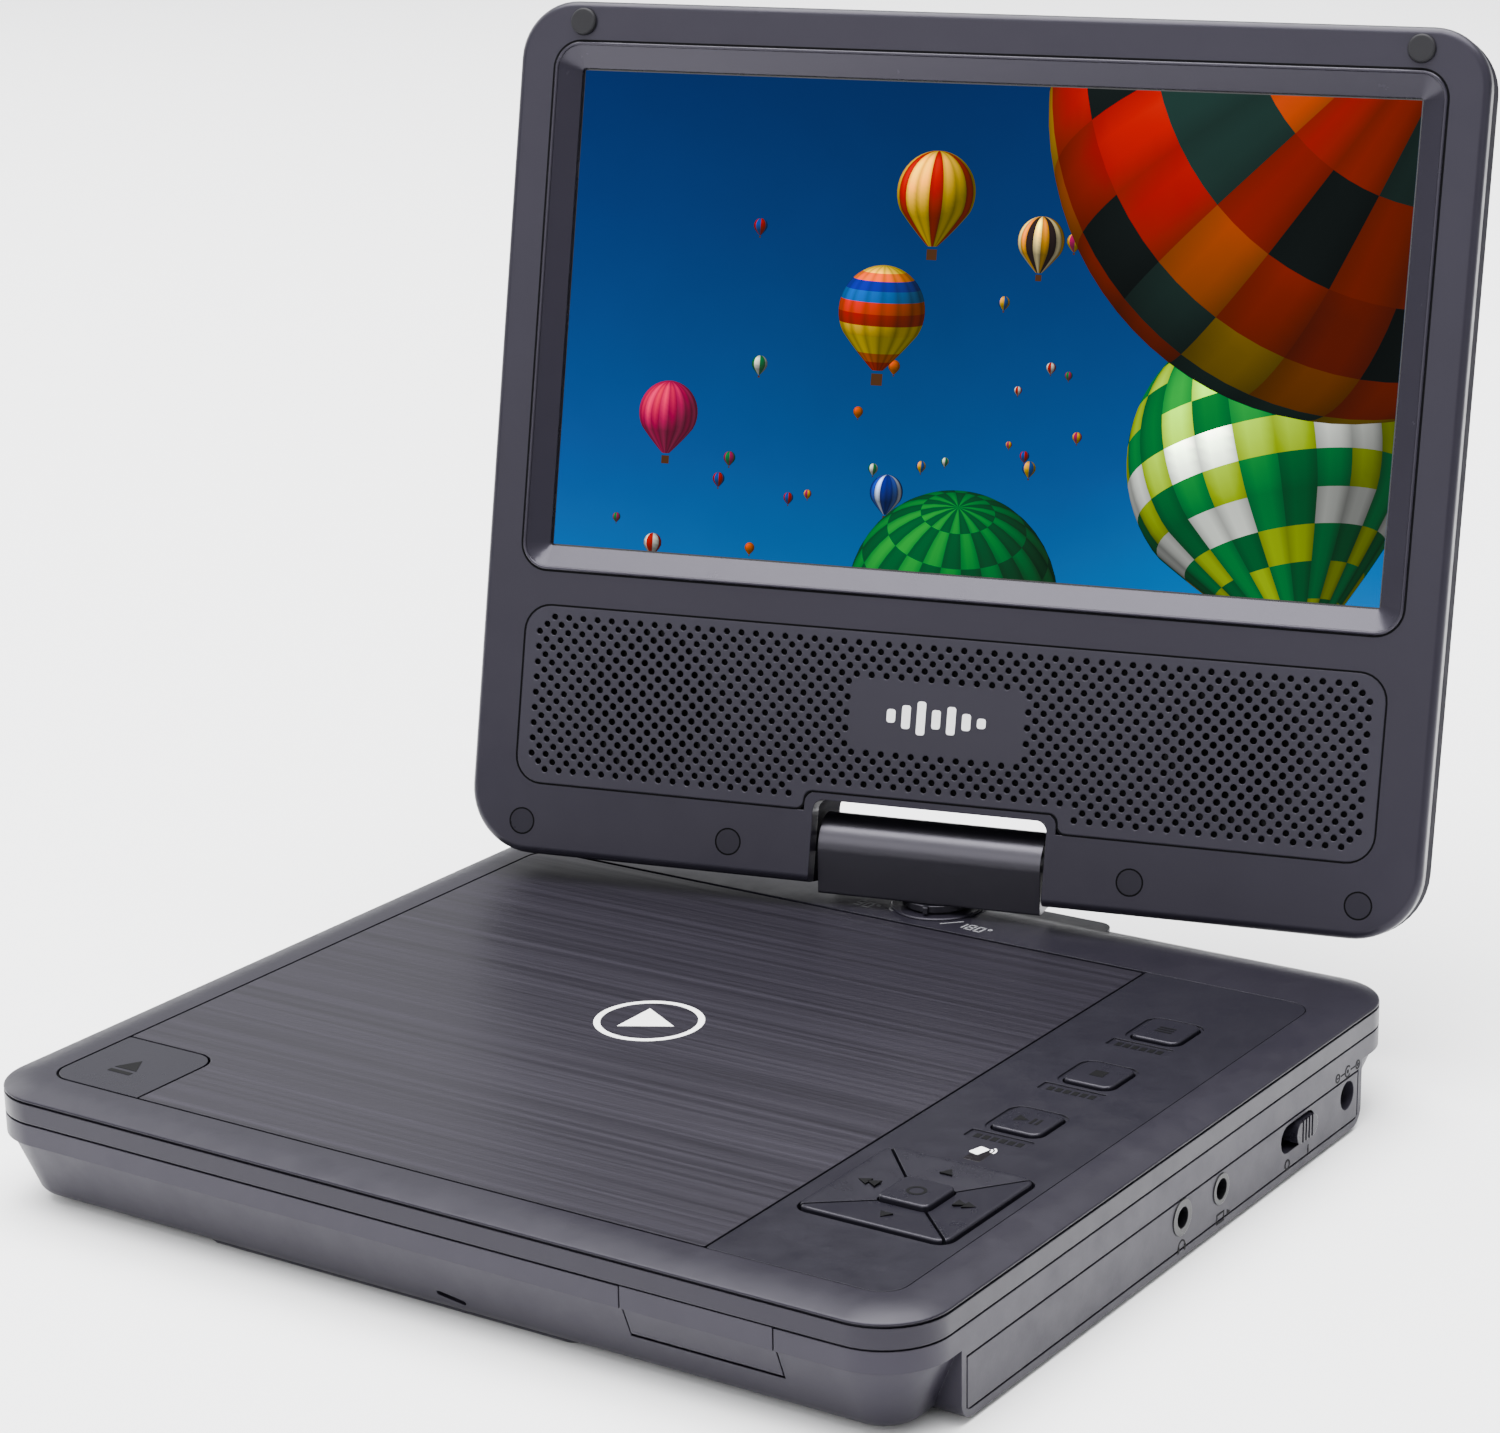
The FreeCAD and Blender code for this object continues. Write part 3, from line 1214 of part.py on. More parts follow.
def notch_block(grow, y0, y1):
    """Space at the bottom edge for the hinge barrel."""
    w = NOTCH_HALF_W + grow
    r = NOTCH_R + grow
    low = LID_BOTTOM - NOTCH_R * 4
    return upright_block(-w, w, low, NOTCH_TOP + grow, y0, y1, (r, r, r, r))


def frame_block(grow, y0, y1):
    w = VIEW_HALF_W + FRAME_MARGIN + grow
    return upright_block(-w, w, VIEW_BOTTOM - FRAME_MARGIN - grow,
                         VIEW_BOTTOM + VIEW_H + FRAME_MARGIN + grow, y0, y1, FRAME_R + grow)


def grille_block(grow, y0, y1):
    r = GRILLE_R + grow
    plate = upright_block(-GRILLE_HALF_W - grow, GRILLE_HALF_W + grow, GRILLE_BOTTOM - grow,
                          GRILLE_TOP + grow, y0, y1, (r, r, r, r))
    w = GRILLE_NOTCH_HALF_W - grow
    top = GRILLE_NOTCH_TOP - grow
    step = upright_block(-w, w, LID_BOTTOM - NOTCH_R * 4, top, y0, y1,
                         (NOTCH_R,) * 4)
    return plate.cut(step)


def bezel():
    seam = FACE + BEZEL_DEPTH
    body = screen_block(0, FACE, seam)
    body = body.makeFillet(FACE_EDGE_R, edges_at(body, 1, FACE))
    skin = FACE + WALL
    cavity = screen_block(LID_WALL, skin, seam).cut(notch_block(LID_WALL, skin, seam))
    cuts = [cavity, notch_block(0, FACE - 1, seam + 1), frame_block(TRIM_GAP, FACE - 1, skin),
            grille_block(TRIM_GAP, FACE - 1, skin)]
    body = body.cut(solids(cuts[:1])).cut(cuts[1]).cut(cuts[2]).cut(cuts[3])
    bosses = [rod(SCREW_HEAD_R + LID_WALL / 2, V(x, skin, CAP_Z), V(x, seam, CAP_Z))
              for x in CAP_X]
    body = joined([body] + bosses)
    holes = []
    for x in CAP_X:
        holes.append(rod(CAP_R, V(x, FACE, CAP_Z), V(x, FACE + CAP_T, CAP_Z)))
        holes.append(rod(SCREW_HEAD_R, V(x, FACE + CAP_T, CAP_Z),
                         V(x, FACE + CAP_T + SCREW_HEAD_H, CAP_Z)))
        holes.append(rod(SCREW_SHANK_R, V(x, FACE, CAP_Z), V(x, seam, CAP_Z)))
    for side in (-1, 1):
        x = side * BUMPER_X
        holes.append(rod(BUMPER_R, V(x, FACE, BUMPER_Z), V(x, FACE + CAP_T, BUMPER_Z)))
    for hole in holes:
        body = body.cut(hole)
    return on_screen(body)


def rear_shell():
    seam = FACE + BEZEL_DEPTH
    body = screen_block(0, seam, LID_REAR)
    body = body.makeFillet(REAR_EDGE_R, edges_at(body, 1, LID_REAR))
    cavity = screen_block(LID_WALL, seam, LID_REAR - LID_WALL)
    cavity = cavity.makeFillet(REAR_EDGE_R - LID_WALL, edges_at(cavity, 1, LID_REAR - LID_WALL))
    cavity = cavity.cut(notch_block(LID_WALL, seam - 1, LID_REAR))
    body = body.cut(cavity).cut(notch_block(0, seam - 1, LID_REAR + 1))
    inner = LID_REAR - LID_WALL / 2
    adds = [rod(LID_BOSS_R, V(x, seam, CAP_Z), V(x, inner, CAP_Z)) for x in CAP_X]
    for side in (-1, 1):
        for z in SPACER_Z:
            adds.append(rod(LID_BOSS_R, V(side * SPACER_X, backlight_back(), z),
                            V(side * SPACER_X, inner, z)))
        for z in LEAF_STUD_Z:
            x = side * (LEAF_IN + LEAF_OUT) / 2
            adds.append(rod(LID_BOSS_R, V(x, LEAF_T / 2, z), V(x, inner, z)))
        x = side * DRIVER_STUD_X
        adds.append(rod(LID_BOSS_R, V(x, DRIVER_DEPTH + BOARD, DRIVER_Z1 - LID_BOSS_R * 2),
                        V(x, inner, DRIVER_Z1 - LID_BOSS_R * 2)))
    body = joined([body] + adds)
    for x in CAP_X:
        body = body.cut(rod(SCREW_SHANK_R, V(x, seam, CAP_Z), V(x, lid_screw_end(), CAP_Z)))
    w = NOTCH_HALF_W + LID_WALL * 2
    body = body.cut(rod(SHAFT_R + MOVING, V(-w, 0, 0), V(w, 0, 0)))
    return on_screen(body)


def backlight_back():
    return FACE + FRAME_DROP + FRAME_LIP + PANEL_T + BACKLIGHT_T


def lid_screw_end():
    return FACE + CAP_T + SCREW_HEAD_H + LID_SCREW_L


def screen_frame():
    back = FACE + FRAME_DROP + FRAME_LIP
    skin = FACE + WALL
    body = frame_block(0, FACE, back)
    body = joined([body, frame_block(FLANGE, skin, back)])
    w = VIEW_HALF_W
    outer = w + FRAME_MARGIN - FRAME_RIM
    rise = FRAME_MARGIN - FRAME_RIM
    high = rounded_wire(-outer, outer, VIEW_BOTTOM - rise, VIEW_BOTTOM + VIEW_H + rise,
                        -FACE, (FRAME_R - FRAME_RIM,) * 4)
    low = rounded_wire(-w, w, VIEW_BOTTOM, VIEW_BOTTOM + VIEW_H, -FACE - FRAME_DROP,
                       (FRAME_RIM,) * 4)
    slope = tapered(low, high)
    slope.rotate(V(0, 0, 0), X_AXIS, 90)
    window = upright_block(-w, w, VIEW_BOTTOM, VIEW_BOTTOM + VIEW_H, FACE, back + 1, FRAME_RIM)
    return on_screen(body.cut(slope).cut(window))


def display_block(grow, y0, y1):
    w = VIEW_HALF_W + grow
    return box(-w, w, y0, y1, VIEW_BOTTOM - grow, VIEW_BOTTOM + VIEW_H + grow)


def lcd_panel():
    front = FACE + FRAME_DROP + FRAME_LIP
    return on_screen(display_block(PANEL_EDGE, front, front + PANEL_T))


def backlight():
    front = FACE + FRAME_DROP + FRAME_LIP + PANEL_T
    return on_screen(display_block(PANEL_EDGE + TRIM_GAP, front, backlight_back()))


def driver_board():
    board = box(-DRIVER_X, DRIVER_X, DRIVER_DEPTH, DRIVER_DEPTH + BOARD, DRIVER_Z0, DRIVER_Z1)
    chip = box(-CHIP_SIDE, CHIP_SIDE, DRIVER_DEPTH - CHIP_H, DRIVER_DEPTH,
               DRIVER_Z0 + CHIP_SIDE / 2, DRIVER_Z0 + CHIP_SIDE * 2)
    return on_screen(joined([board, chip]))


def grille():
    plate = grille_block(0, FACE, FACE + GRILLE_T)
    skin = FACE + WALL
    neck = grille_block(0, FACE + GRILLE_T, skin)
    inner = grille_block(-FLANGE, FACE + GRILLE_T, skin)
    flange = grille_block(FLANGE, skin, skin + GRILLE_T / 2)
    flange = flange.cut(grille_block(-FLANGE, skin, skin + GRILLE_T))
    flange = flange.cut(notch_block(LID_WALL + TRIM_GAP, skin - 1, skin + GRILLE_T))
    plate = joined([plate, neck.cut(inner), flange])
    holes = []
    step = HOLE_PITCH / 2
    count = int(SOUND_R / step)
    for side in (-1, 1):
        for i in range(-count, count + 1):
            for j in range(-count, count + 1):
                u = i * step
                w = j * step
                if (i + j) % 2 == 0 and math.hypot(u, w) < SOUND_R:
                    x = side * SPEAKER_X + u
                    z = SPEAKER_Z + w
                    holes.append(rod(HOLE_R, V(x, FACE - 1, z), V(x, FACE + GRILLE_T + 1, z)))
    return on_screen(plate.cut(solids(holes)))


def speakers():
    front = FACE + GRILLE_T
    units = []
    for side in (-1, 1):
        x = side * SPEAKER_X
        basket_end = front + SPEAKER_DEPTH - MAGNET_DEPTH
        basket = rod(SPEAKER_R, V(x, front, SPEAKER_Z), V(x, basket_end, SPEAKER_Z))
        cone = Part.makeCone(SOUND_R, SOUND_R / 3, WALL, V(x, front, SPEAKER_Z), Y_AXIS)
        magnet = rod(MAGNET_R, V(x, basket_end, SPEAKER_Z),
                     V(x, front + SPEAKER_DEPTH, SPEAKER_Z))
        units.append(joined([basket.cut(cone), magnet]))
    return on_screen(solids(units))


def bumpers():
    pads = []
    for side in (-1, 1):
        x = side * BUMPER_X
        pad = rod(BUMPER_R, V(x, FACE - BUMPER_PROUD, BUMPER_Z), V(x, FACE + CAP_T, BUMPER_Z))
        pads.append(pad.makeFillet(BUMPER_PROUD / 2, edges_at(pad, 1, FACE - BUMPER_PROUD)))
    return on_screen(solids(pads))


def screw_caps():
    caps = [rod(CAP_R - RUNNING, V(x, FACE, CAP_Z), V(x, FACE + CAP_T, CAP_Z)) for x in CAP_X]
    return on_screen(solids(caps))


def lid_screws():
    screws = []
    for x in CAP_X:
        start = FACE + CAP_T
        head_end = start + SCREW_HEAD_H
        screws.append(joined([rod(SCREW_HEAD_R, V(x, start, CAP_Z), V(x, head_end, CAP_Z)),
                              rod(SCREW_SHANK_R, V(x, head_end, CAP_Z),
                                  V(x, lid_screw_end(), CAP_Z))]))
    return on_screen(solids(screws))


def hinge_leaves():
    leaves = []
    for side in (-1, 1):
        x0 = min(side * LEAF_IN, side * LEAF_OUT)
        x1 = max(side * LEAF_IN, side * LEAF_OUT)
        eye = rod(LEAF_R, V(x0, 0, 0), V(x1, 0, 0))
        plate = box(x0, x1, -LEAF_T / 2, LEAF_T / 2, 0, LEAF_TOP)
        leaf = joined([eye, plate])
        leaves.append(leaf.cut(rod(SHAFT_R + RUNNING, V(x0, 0, 0), V(x1, 0, 0))))
    return on_screen(solids(leaves))


# ---- write every piece ---------------------------------------------------
PIECES = {
    "bottom_case": bottom_case, "top_case": top_case, "key_panel": key_panel,
    "ir_window": lambda: ir_block(0), "key_board": key_board, "main_board": main_board,
    "earphone_jack": lambda: plug_jack(EARPHONE_Y, EARPHONE_RING_R),
    "av_jack": lambda: plug_jack(AV_Y, AV_RING_R), "dc_jack": dc_jack,
    "switch_body": switch_body, "port_board": port_board, "usb_socket": usb_socket,
    "drive_chassis": drive_chassis, "guide_rods": guide_rods, "dampers": dampers,
    "spindle_motor": spindle_motor, "sled_motor": sled_motor, "motor_strap": motor_strap,
    "battery_pack": battery_pack, "battery_cover": battery_cover, "feet": feet,
    "case_screws": case_screws, "swivel_bush": swivel_bush, "lid_hinge_pins": hinge_pins,
    "disc_lid": disc_lid, "disc_lid_skin": disc_lid_skin, "open_button": open_button,
    "latch_slider": latch_slider, "power_knob": power_knob, "port_flap": flap,
    "key_front": lambda: key(KEY_Y[0]), "key_middle": lambda: key(KEY_Y[1]),
    "key_rear": lambda: key(KEY_Y[2]), "pad_right": lambda: pad_key(0),
    "pad_rear": lambda: pad_key(1), "pad_left": lambda: pad_key(2),
    "pad_front": lambda: pad_key(3), "pad_centre": centre_key,
    "turntable": turntable, "pickup_sled": pickup_sled, "pickup_lens": pickup_lens,
    "lead_screw": lead_screw, "hinge_barrel": hinge_barrel, "swivel_post": swivel_post,
    "swivel_nut": swivel_nut, "tilt_shafts": tilt_shafts, "shaft_brackets": shaft_brackets,
    "friction_washers": friction_washers, "bezel": bezel, "rear_shell": rear_shell,
    "screen_frame": screen_frame, "lcd_panel": lcd_panel, "backlight": backlight,
    "driver_board": driver_board, "grille": grille, "speakers": speakers,
    "bumpers": bumpers, "screw_caps": screw_caps, "lid_screws": lid_screws,
    "hinge_leaves": hinge_leaves,
}

os.makedirs("parts", exist_ok=True)
for name, make in PIECES.items():
    shape = make()
    shape.exportStep("parts/%s.step" % name)
    print(name, len(shape.Solids), shape.isValid(), round(shape.Volume, 1))
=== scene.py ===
import json
import math

import bpy
from mathutils import Matrix, Vector
from mathutils.geometry import delaunay_2d_cdt


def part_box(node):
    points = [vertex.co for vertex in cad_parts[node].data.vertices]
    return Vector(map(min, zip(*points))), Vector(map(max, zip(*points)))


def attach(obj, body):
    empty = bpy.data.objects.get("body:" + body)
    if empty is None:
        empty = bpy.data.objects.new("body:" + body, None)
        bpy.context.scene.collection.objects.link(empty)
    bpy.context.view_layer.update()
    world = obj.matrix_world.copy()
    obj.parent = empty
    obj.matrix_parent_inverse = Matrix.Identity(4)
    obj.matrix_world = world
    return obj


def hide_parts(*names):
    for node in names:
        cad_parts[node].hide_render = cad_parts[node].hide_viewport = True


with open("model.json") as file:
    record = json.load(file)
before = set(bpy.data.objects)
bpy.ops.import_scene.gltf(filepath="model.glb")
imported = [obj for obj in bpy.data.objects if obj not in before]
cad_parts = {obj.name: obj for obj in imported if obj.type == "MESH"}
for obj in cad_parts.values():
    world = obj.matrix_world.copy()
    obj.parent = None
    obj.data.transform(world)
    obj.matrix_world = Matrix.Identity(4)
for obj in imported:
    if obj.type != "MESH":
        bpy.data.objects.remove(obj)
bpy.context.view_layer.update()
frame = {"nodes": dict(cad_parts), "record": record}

# Lengths are in millimetres in this script and become metres in MM.
MM = 0.001
record = frame["record"]
nodes = frame["nodes"]

# ---- places that the pieces are built on ----------------------------------
SWIVEL = math.radians(13.41)
LEAN = math.radians(14.67)
HINGE = Vector((0.0, 77.8, 31.0))
FACE = -7.0
VIEW_HALF_W = 77.04
VIEW_BOTTOM = 49.6
VIEW_H = 86.58
PANEL_Z = 21.0
TO_METRES = Matrix.Scale(MM, 4)
SCREEN = (TO_METRES @ Matrix.Translation(HINGE) @ Matrix.Rotation(SWIVEL, 4, "Z")
          @ Matrix.Rotation(-LEAN, 4, "X"))
# plane of the screen's face: x to the right, y up, z out of the face
FACE_PLANE = SCREEN @ Matrix.Translation((0, FACE, 0)) @ Matrix.Rotation(math.radians(90), 4, "X")
TOP_PLANE = TO_METRES @ Matrix.Translation((0, 0, PANEL_Z))


# ---- materials -------------------------------------------------------------
def principled(name):
    material = bpy.data.materials.new(name)
    material.use_nodes = True
    tree = material.node_tree
    return material, tree, tree.nodes["Principled BSDF"]


def noise(tree, coords, scale, detail=3.0, roughness=0.55, stretch=None):
    node = tree.nodes.new("ShaderNodeTexNoise")
    node.inputs["Scale"].default_value = scale
    node.inputs["Detail"].default_value = detail
    node.inputs["Roughness"].default_value = roughness
    if stretch:
        mapping = tree.nodes.new("ShaderNodeMapping")
        mapping.inputs["Scale"].default_value = stretch
        tree.links.new(coords, mapping.inputs["Vector"])
        coords = mapping.outputs["Vector"]
    tree.links.new(coords, node.inputs["Vector"])
    return node.outputs["Fac"]


def ranged(tree, value, low, high, from_low=0.3, from_high=0.7):
    node = tree.nodes.new("ShaderNodeMapRange")
    node.inputs["From Min"].default_value = from_low
    node.inputs["From Max"].default_value = from_high
    node.inputs["To Min"].default_value = low
    node.inputs["To Max"].default_value = high
    tree.links.new(value, node.inputs["Value"])
    return node.outputs["Result"]


def mixed(tree, factor, a, b):
    node = tree.nodes.new("ShaderNodeMix")
    node.data_type = "RGBA"
    node.inputs["A"].default_value = (*a, 1)
    node.inputs["B"].default_value = (*b, 1)
    tree.links.new(factor, node.inputs["Factor"])
    return node.outputs["Result"]


def object_coords(tree):
    return tree.nodes.new("ShaderNodeTexCoord").outputs["Object"]


def bumped(tree, shader, height, strength, distance, edge=0.0):
    bump = tree.nodes.new("ShaderNodeBump")
    bump.inputs["Strength"].default_value = strength
    bump.inputs["Distance"].default_value = distance
    tree.links.new(height, bump.inputs["Height"])
    if edge:
        bevel = tree.nodes.new("ShaderNodeBevel")
        bevel.samples = 4
        bevel.inputs["Radius"].default_value = edge
        tree.links.new(bevel.outputs["Normal"], bump.inputs["Normal"])
    tree.links.new(bump.outputs["Normal"], shader.inputs["Normal"])


def moulded(name, color, rough, grain=2600.0, grain_depth=0.00002, blotch=0.12,
            rough_swing=0.06, specular=0.5, coat=0.0, edge=0.00022, metallic=0.0,
            tint=(1.0, 1.0, 1.0)):
    """Moulded plastic, rubber or metal: fine grain, slow blotches and rubbed roughness."""
    material, tree, shader = principled(name)
    coords = object_coords(tree)
    slow = noise(tree, coords, 38.0, 4.0)
    fine = noise(tree, coords, grain, 2.0)
    darker = tuple(c * (1 - blotch) for c in color)
    lighter = tuple(min(1.0, c * (1 + blotch)) for c in color)
    tree.links.new(mixed(tree, slow, darker, lighter), shader.inputs["Base Color"])
    wear = noise(tree, coords, 160.0, 5.0, 0.7)
    tree.links.new(ranged(tree, wear, rough - rough_swing, rough + rough_swing),
                   shader.inputs["Roughness"])
    shader.inputs["Specular IOR Level"].default_value = specular
    shader.inputs["Specular Tint"].default_value = (*tint, 1)
    shader.inputs["Metallic"].default_value = metallic
    shader.inputs["Coat Weight"].default_value = coat
    shader.inputs["Coat Roughness"].default_value = 0.12
    bumped(tree, shader, fine, 0.35, grain_depth, edge)
    return material


def brushed(name, color, rough, stretch, swing=0.35, metallic=0.0, depth=0.00002,
            edge=0.00022, specular=0.5, tint=(1.0, 1.0, 1.0)):
    """Surface with fine drawn lines. stretch is small along the lines and large across."""
    material, tree, shader = principled(name)
    coords = object_coords(tree)
    lines = noise(tree, coords, 1.0, 6.0, 0.72, stretch)
    wide = noise(tree, coords, 1.0, 3.0, 0.5, tuple(s * 0.16 for s in stretch))
    both = tree.nodes.new("ShaderNodeMath")
    both.operation = "MULTIPLY_ADD"
    both.inputs[1].default_value = 0.55
    tree.links.new(lines, both.inputs[0])
    half = tree.nodes.new("ShaderNodeMath")
    half.operation = "MULTIPLY"
    half.inputs[1].default_value = 0.45
    tree.links.new(wide, half.inputs[0])
    tree.links.new(half.outputs[0], both.inputs[2])
    share = ranged(tree, both.outputs[0], 0.0, 1.0, 0.36, 0.64)
    darker = tuple(c * (1 - swing) for c in color)
    lighter = tuple(min(1.0, c * (1 + swing)) for c in color)
    tree.links.new(mixed(tree, share, darker, lighter), shader.inputs["Base Color"])
    tree.links.new(ranged(tree, share, rough - 0.08, rough + 0.1, 0.0, 1.0),
                   shader.inputs["Roughness"])
    shader.inputs["Metallic"].default_value = metallic
    shader.inputs["Specular IOR Level"].default_value = specular
    shader.inputs["Specular Tint"].default_value = (*tint, 1)
    bumped(tree, shader, lines, 0.4, depth, edge)
    return material


def board_material(name):
    material, tree, shader = principled(name)
    coords = object_coords(tree)
    cells = tree.nodes.new("ShaderNodeTexVoronoi")
    cells.feature = "DISTANCE_TO_EDGE"
    cells.inputs["Scale"].default_value = 320.0
    tree.links.new(coords, cells.inputs["Vector"])
    track = ranged(tree, cells.outputs["Distance"], 0.0, 1.0, 0.05, 0.08)
    tree.links.new(mixed(tree, track, (0.05, 0.2, 0.08), (0.015, 0.085, 0.04)),
                   shader.inputs["Base Color"])
    shader.inputs["Roughness"].default_value = 0.35
    bumped(tree, shader, track, 0.4, 0.00003)
    return material


def picture_material(name, strength):
    """Lit display surface whose colours are stored in the mesh."""
    material, tree, shader = principled(name)
    stored = tree.nodes.new("ShaderNodeVertexColor")
    stored.layer_name = "Picture"
    coords = object_coords(tree)
    haze = noise(tree, coords, 90.0, 4.0)
    bright = tree.nodes.new("ShaderNodeMix")
    bright.data_type = "RGBA"
    bright.blend_type = "MULTIPLY"
    bright.inputs["Factor"].default_value = 1.0
    tree.links.new(stored.outputs["Color"], bright.inputs["A"])
    tree.links.new(mixed(tree, haze, (0.95, 0.95, 0.95), (1.05, 1.05, 1.05)), bright.inputs["B"])
    tree.links.new(bright.outputs["Result"], shader.inputs["Emission Color"])
    shader.inputs["Emission Strength"].default_value = strength
    shader.inputs["Base Color"].default_value = (0.0, 0.0, 0.0, 1)
    shader.inputs["Roughness"].default_value = 0.6
    shader.inputs["Specular IOR Level"].default_value = 0.0
    return material


VIOLET = (0.9, 0.86, 1.0)
SLOT_MATERIALS = {
    "shell_dark": moulded("CaseDark", (0.0085, 0.0076, 0.0116), 0.34, specular=0.24, tint=VIOLET),
    "shell_lower": moulded("CaseLower", (0.0128, 0.0114, 0.0172), 0.42, specular=0.28,
                           tint=VIOLET),
    "lid_brushed": brushed("LidBrushed", (0.0074, 0.0064, 0.0098), 0.38, (22.0, 4200.0, 60.0), 0.5,
                           specular=0.26, tint=VIOLET),
    "panel_dark": moulded("PanelDark", (0.007, 0.0065, 0.0098), 0.34, specular=0.2, tint=VIOLET),
    "key_dark": moulded("KeyDark", (0.007, 0.0065, 0.0098), 0.3, specular=0.22, tint=VIOLET),
    "hinge_dark": moulded("HingeDark", (0.0045, 0.0043, 0.006), 0.33, rough_swing=0.02,
                          blotch=0.04, specular=0.75, tint=VIOLET),
    "frame_satin": moulded("FrameSatin", (0.011, 0.0098, 0.015), 0.26, rough_swing=0.015,
                           blotch=0.04, specular=0.36, tint=VIOLET),
    "screen_glass": moulded("DisplayBlack", (0.004, 0.004, 0.005), 0.25, edge=0.0),
    "rubber_dark": moulded("Rubber", (0.012, 0.012, 0.013), 0.75, specular=0.3),
    "steel": brushed("Steel", (0.42, 0.42, 0.44), 0.28, (60.0, 2600.0, 2600.0), 0.12, 1.0),
    "zinc": brushed("Zinc", (0.5, 0.51, 0.52), 0.36, (900.0, 240.0, 600.0), 0.1, 1.0),
    "board_green": board_material("Board"),
    "white_plastic": moulded("WhitePlastic", (0.6, 0.6, 0.57), 0.4, blotch=0.04),
    "black_plastic": moulded("BlackPlastic", (0.004, 0.004, 0.005), 0.3, specular=0.3),
    "cell_wrap": moulded("CellWrap", (0.03, 0.09, 0.26), 0.3, coat=0.3),
    "ir_lens": moulded("IrLens", (0.004, 0.003, 0.004), 0.2, blotch=0.1),
    "lens_clear": moulded("LensClear", (0.1, 0.12, 0.3), 0.06, coat=1.0, rough_swing=0.02),
    "cone_paper": moulded("ConePaper", (0.006, 0.006, 0.007), 0.8, grain=1500.0),
    "brass": moulded("Brass", (0.6, 0.42, 0.16), 0.25, metallic=1.0),
}
PRINT_WHITE = moulded("PrintWhite", (0.8, 0.8, 0.8), 0.5, blotch=0.05, edge=0.0)
PRINT_BLACK = moulded("PrintBlack", (0.0016, 0.0016, 0.002), 0.6, edge=0.0, specular=0.08)
PRINT_GREY = moulded("PrintGrey", (0.16, 0.16, 0.17), 0.5, edge=0.0)
# Near-black painted shade, laid over gaps and inside the grille's holes where shadow falls.
GAP_SHADE_BLACK = moulded("GapShadeBlack", (0.0012, 0.0012, 0.0016), 0.7, edge=0.0, specular=0.05)


# ---- helpers for pieces ----------------------------------------------------
def place(obj, body, material):
    bpy.context.scene.collection.objects.link(obj)
    obj.data.materials.append(material)
    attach(obj, body)
    return obj


def mesh_piece(name, points, faces, body, material, smooth=False):
    mesh = bpy.data.meshes.new(name)
    mesh.from_pydata([tuple(p) for p in points], [], faces)
    mesh.validate()
    mesh.update()
    if smooth:
        mesh.polygons.foreach_set("use_smooth", [True] * len(mesh.polygons))
    return place(bpy.data.objects.new(name, mesh), body, material)


def arc(cx, cy, r, start, end, count):
    return [(cx + r * math.cos(math.radians(start + (end - start) * i / count)),
             cy + r * math.sin(math.radians(start + (end - start) * i / count)))
            for i in range(count + 1)]


def filleted(corners, segments=6):
    """Closed outline from (x, y, radius) corners."""
    out = []
    n = len(corners)
    for i in range(n):
        x, y, r = corners[i]
        here = Vector((x, y))
        a = (Vector(corners[i - 1][:2]) - here).normalized()
        b = (Vector(corners[(i + 1) % n][:2]) - here).normalized()
        half = a.angle(b) / 2
        if r <= 0 or half > 1.55:
            out.append((x, y))
            continue
        reach = r / math.tan(half)
        centre = here + (a + b).normalized() * (r / math.sin(half))
        p = here + a * reach - centre
        q = here + b * reach - centre
        turn = p.angle_signed(q)
        for k in range(segments + 1):
            v = p.copy()
            v.rotate(Matrix.Rotation(-turn * k / segments, 2))
            out.append(tuple(centre + v))
    return out


def rounded_rect(cx, cy, w, h, r, segments=5):
    x, y = w / 2, h / 2
    return filleted([(cx - x, cy - y, r), (cx + x, cy - y, r), (cx + x, cy + y, r),
                     (cx - x, cy + y, r)], segments)


def band(cx, cy, r0, r1, start, end, count=14):
    return arc(cx, cy, r1, start, end, count) + arc(cx, cy, r0, end, start, count)


def turned(outline, degrees, cx=0.0, cy=0.0):
    c, s = math.cos(math.radians(degrees)), math.sin(math.radians(degrees))
    return [(cx + (x - cx) * c - (y - cy) * s, cy + (x - cx) * s + (y - cy) * c)
            for x, y in outline]


def plates(name, outlines, plane, z0, z1, body, material):
    """Thin raised shapes on a plane, such as printing and moulded marks."""
    points, faces = [], []
    for outline in outlines:
        area = sum(outline[i - 1][0] * outline[i][1] - outline[i][0] * outline[i - 1][1]
                   for i in range(len(outline)))
        if area < 0:
            outline = outline[::-1]
        n, start = len(outline), len(points)
        for z in (z0, z1):
            points += [plane @ Vector((x, y, z)) for x, y in outline]
        faces.append([start + n + i for i in range(n)])
        faces.append([start + i for i in reversed(range(n))])
        for i in range(n):
            j = (i + 1) % n
            faces.append([start + i, start + j, start + n + j, start + n + i])
    return mesh_piece(name, points, faces, body, material)


def ring(name, sections, plane, body, material, smooth=False):
    """Closed ring from outlines with the same number of points: (outline, height) in turn."""
    points, faces = [], []
    n = len(sections[0][0])
    for outline, z in sections:
        points += [plane @ Vector((x, y, z)) for x, y in outline]
    for s in range(len(sections)):
        a, b = s * n, (s + 1) % len(sections) * n
        for i in range(n):
            j = (i + 1) % n
            faces.append([a + i, a + j, b + j, b + i])
    return mesh_piece(name, points, faces, body, material, smooth)


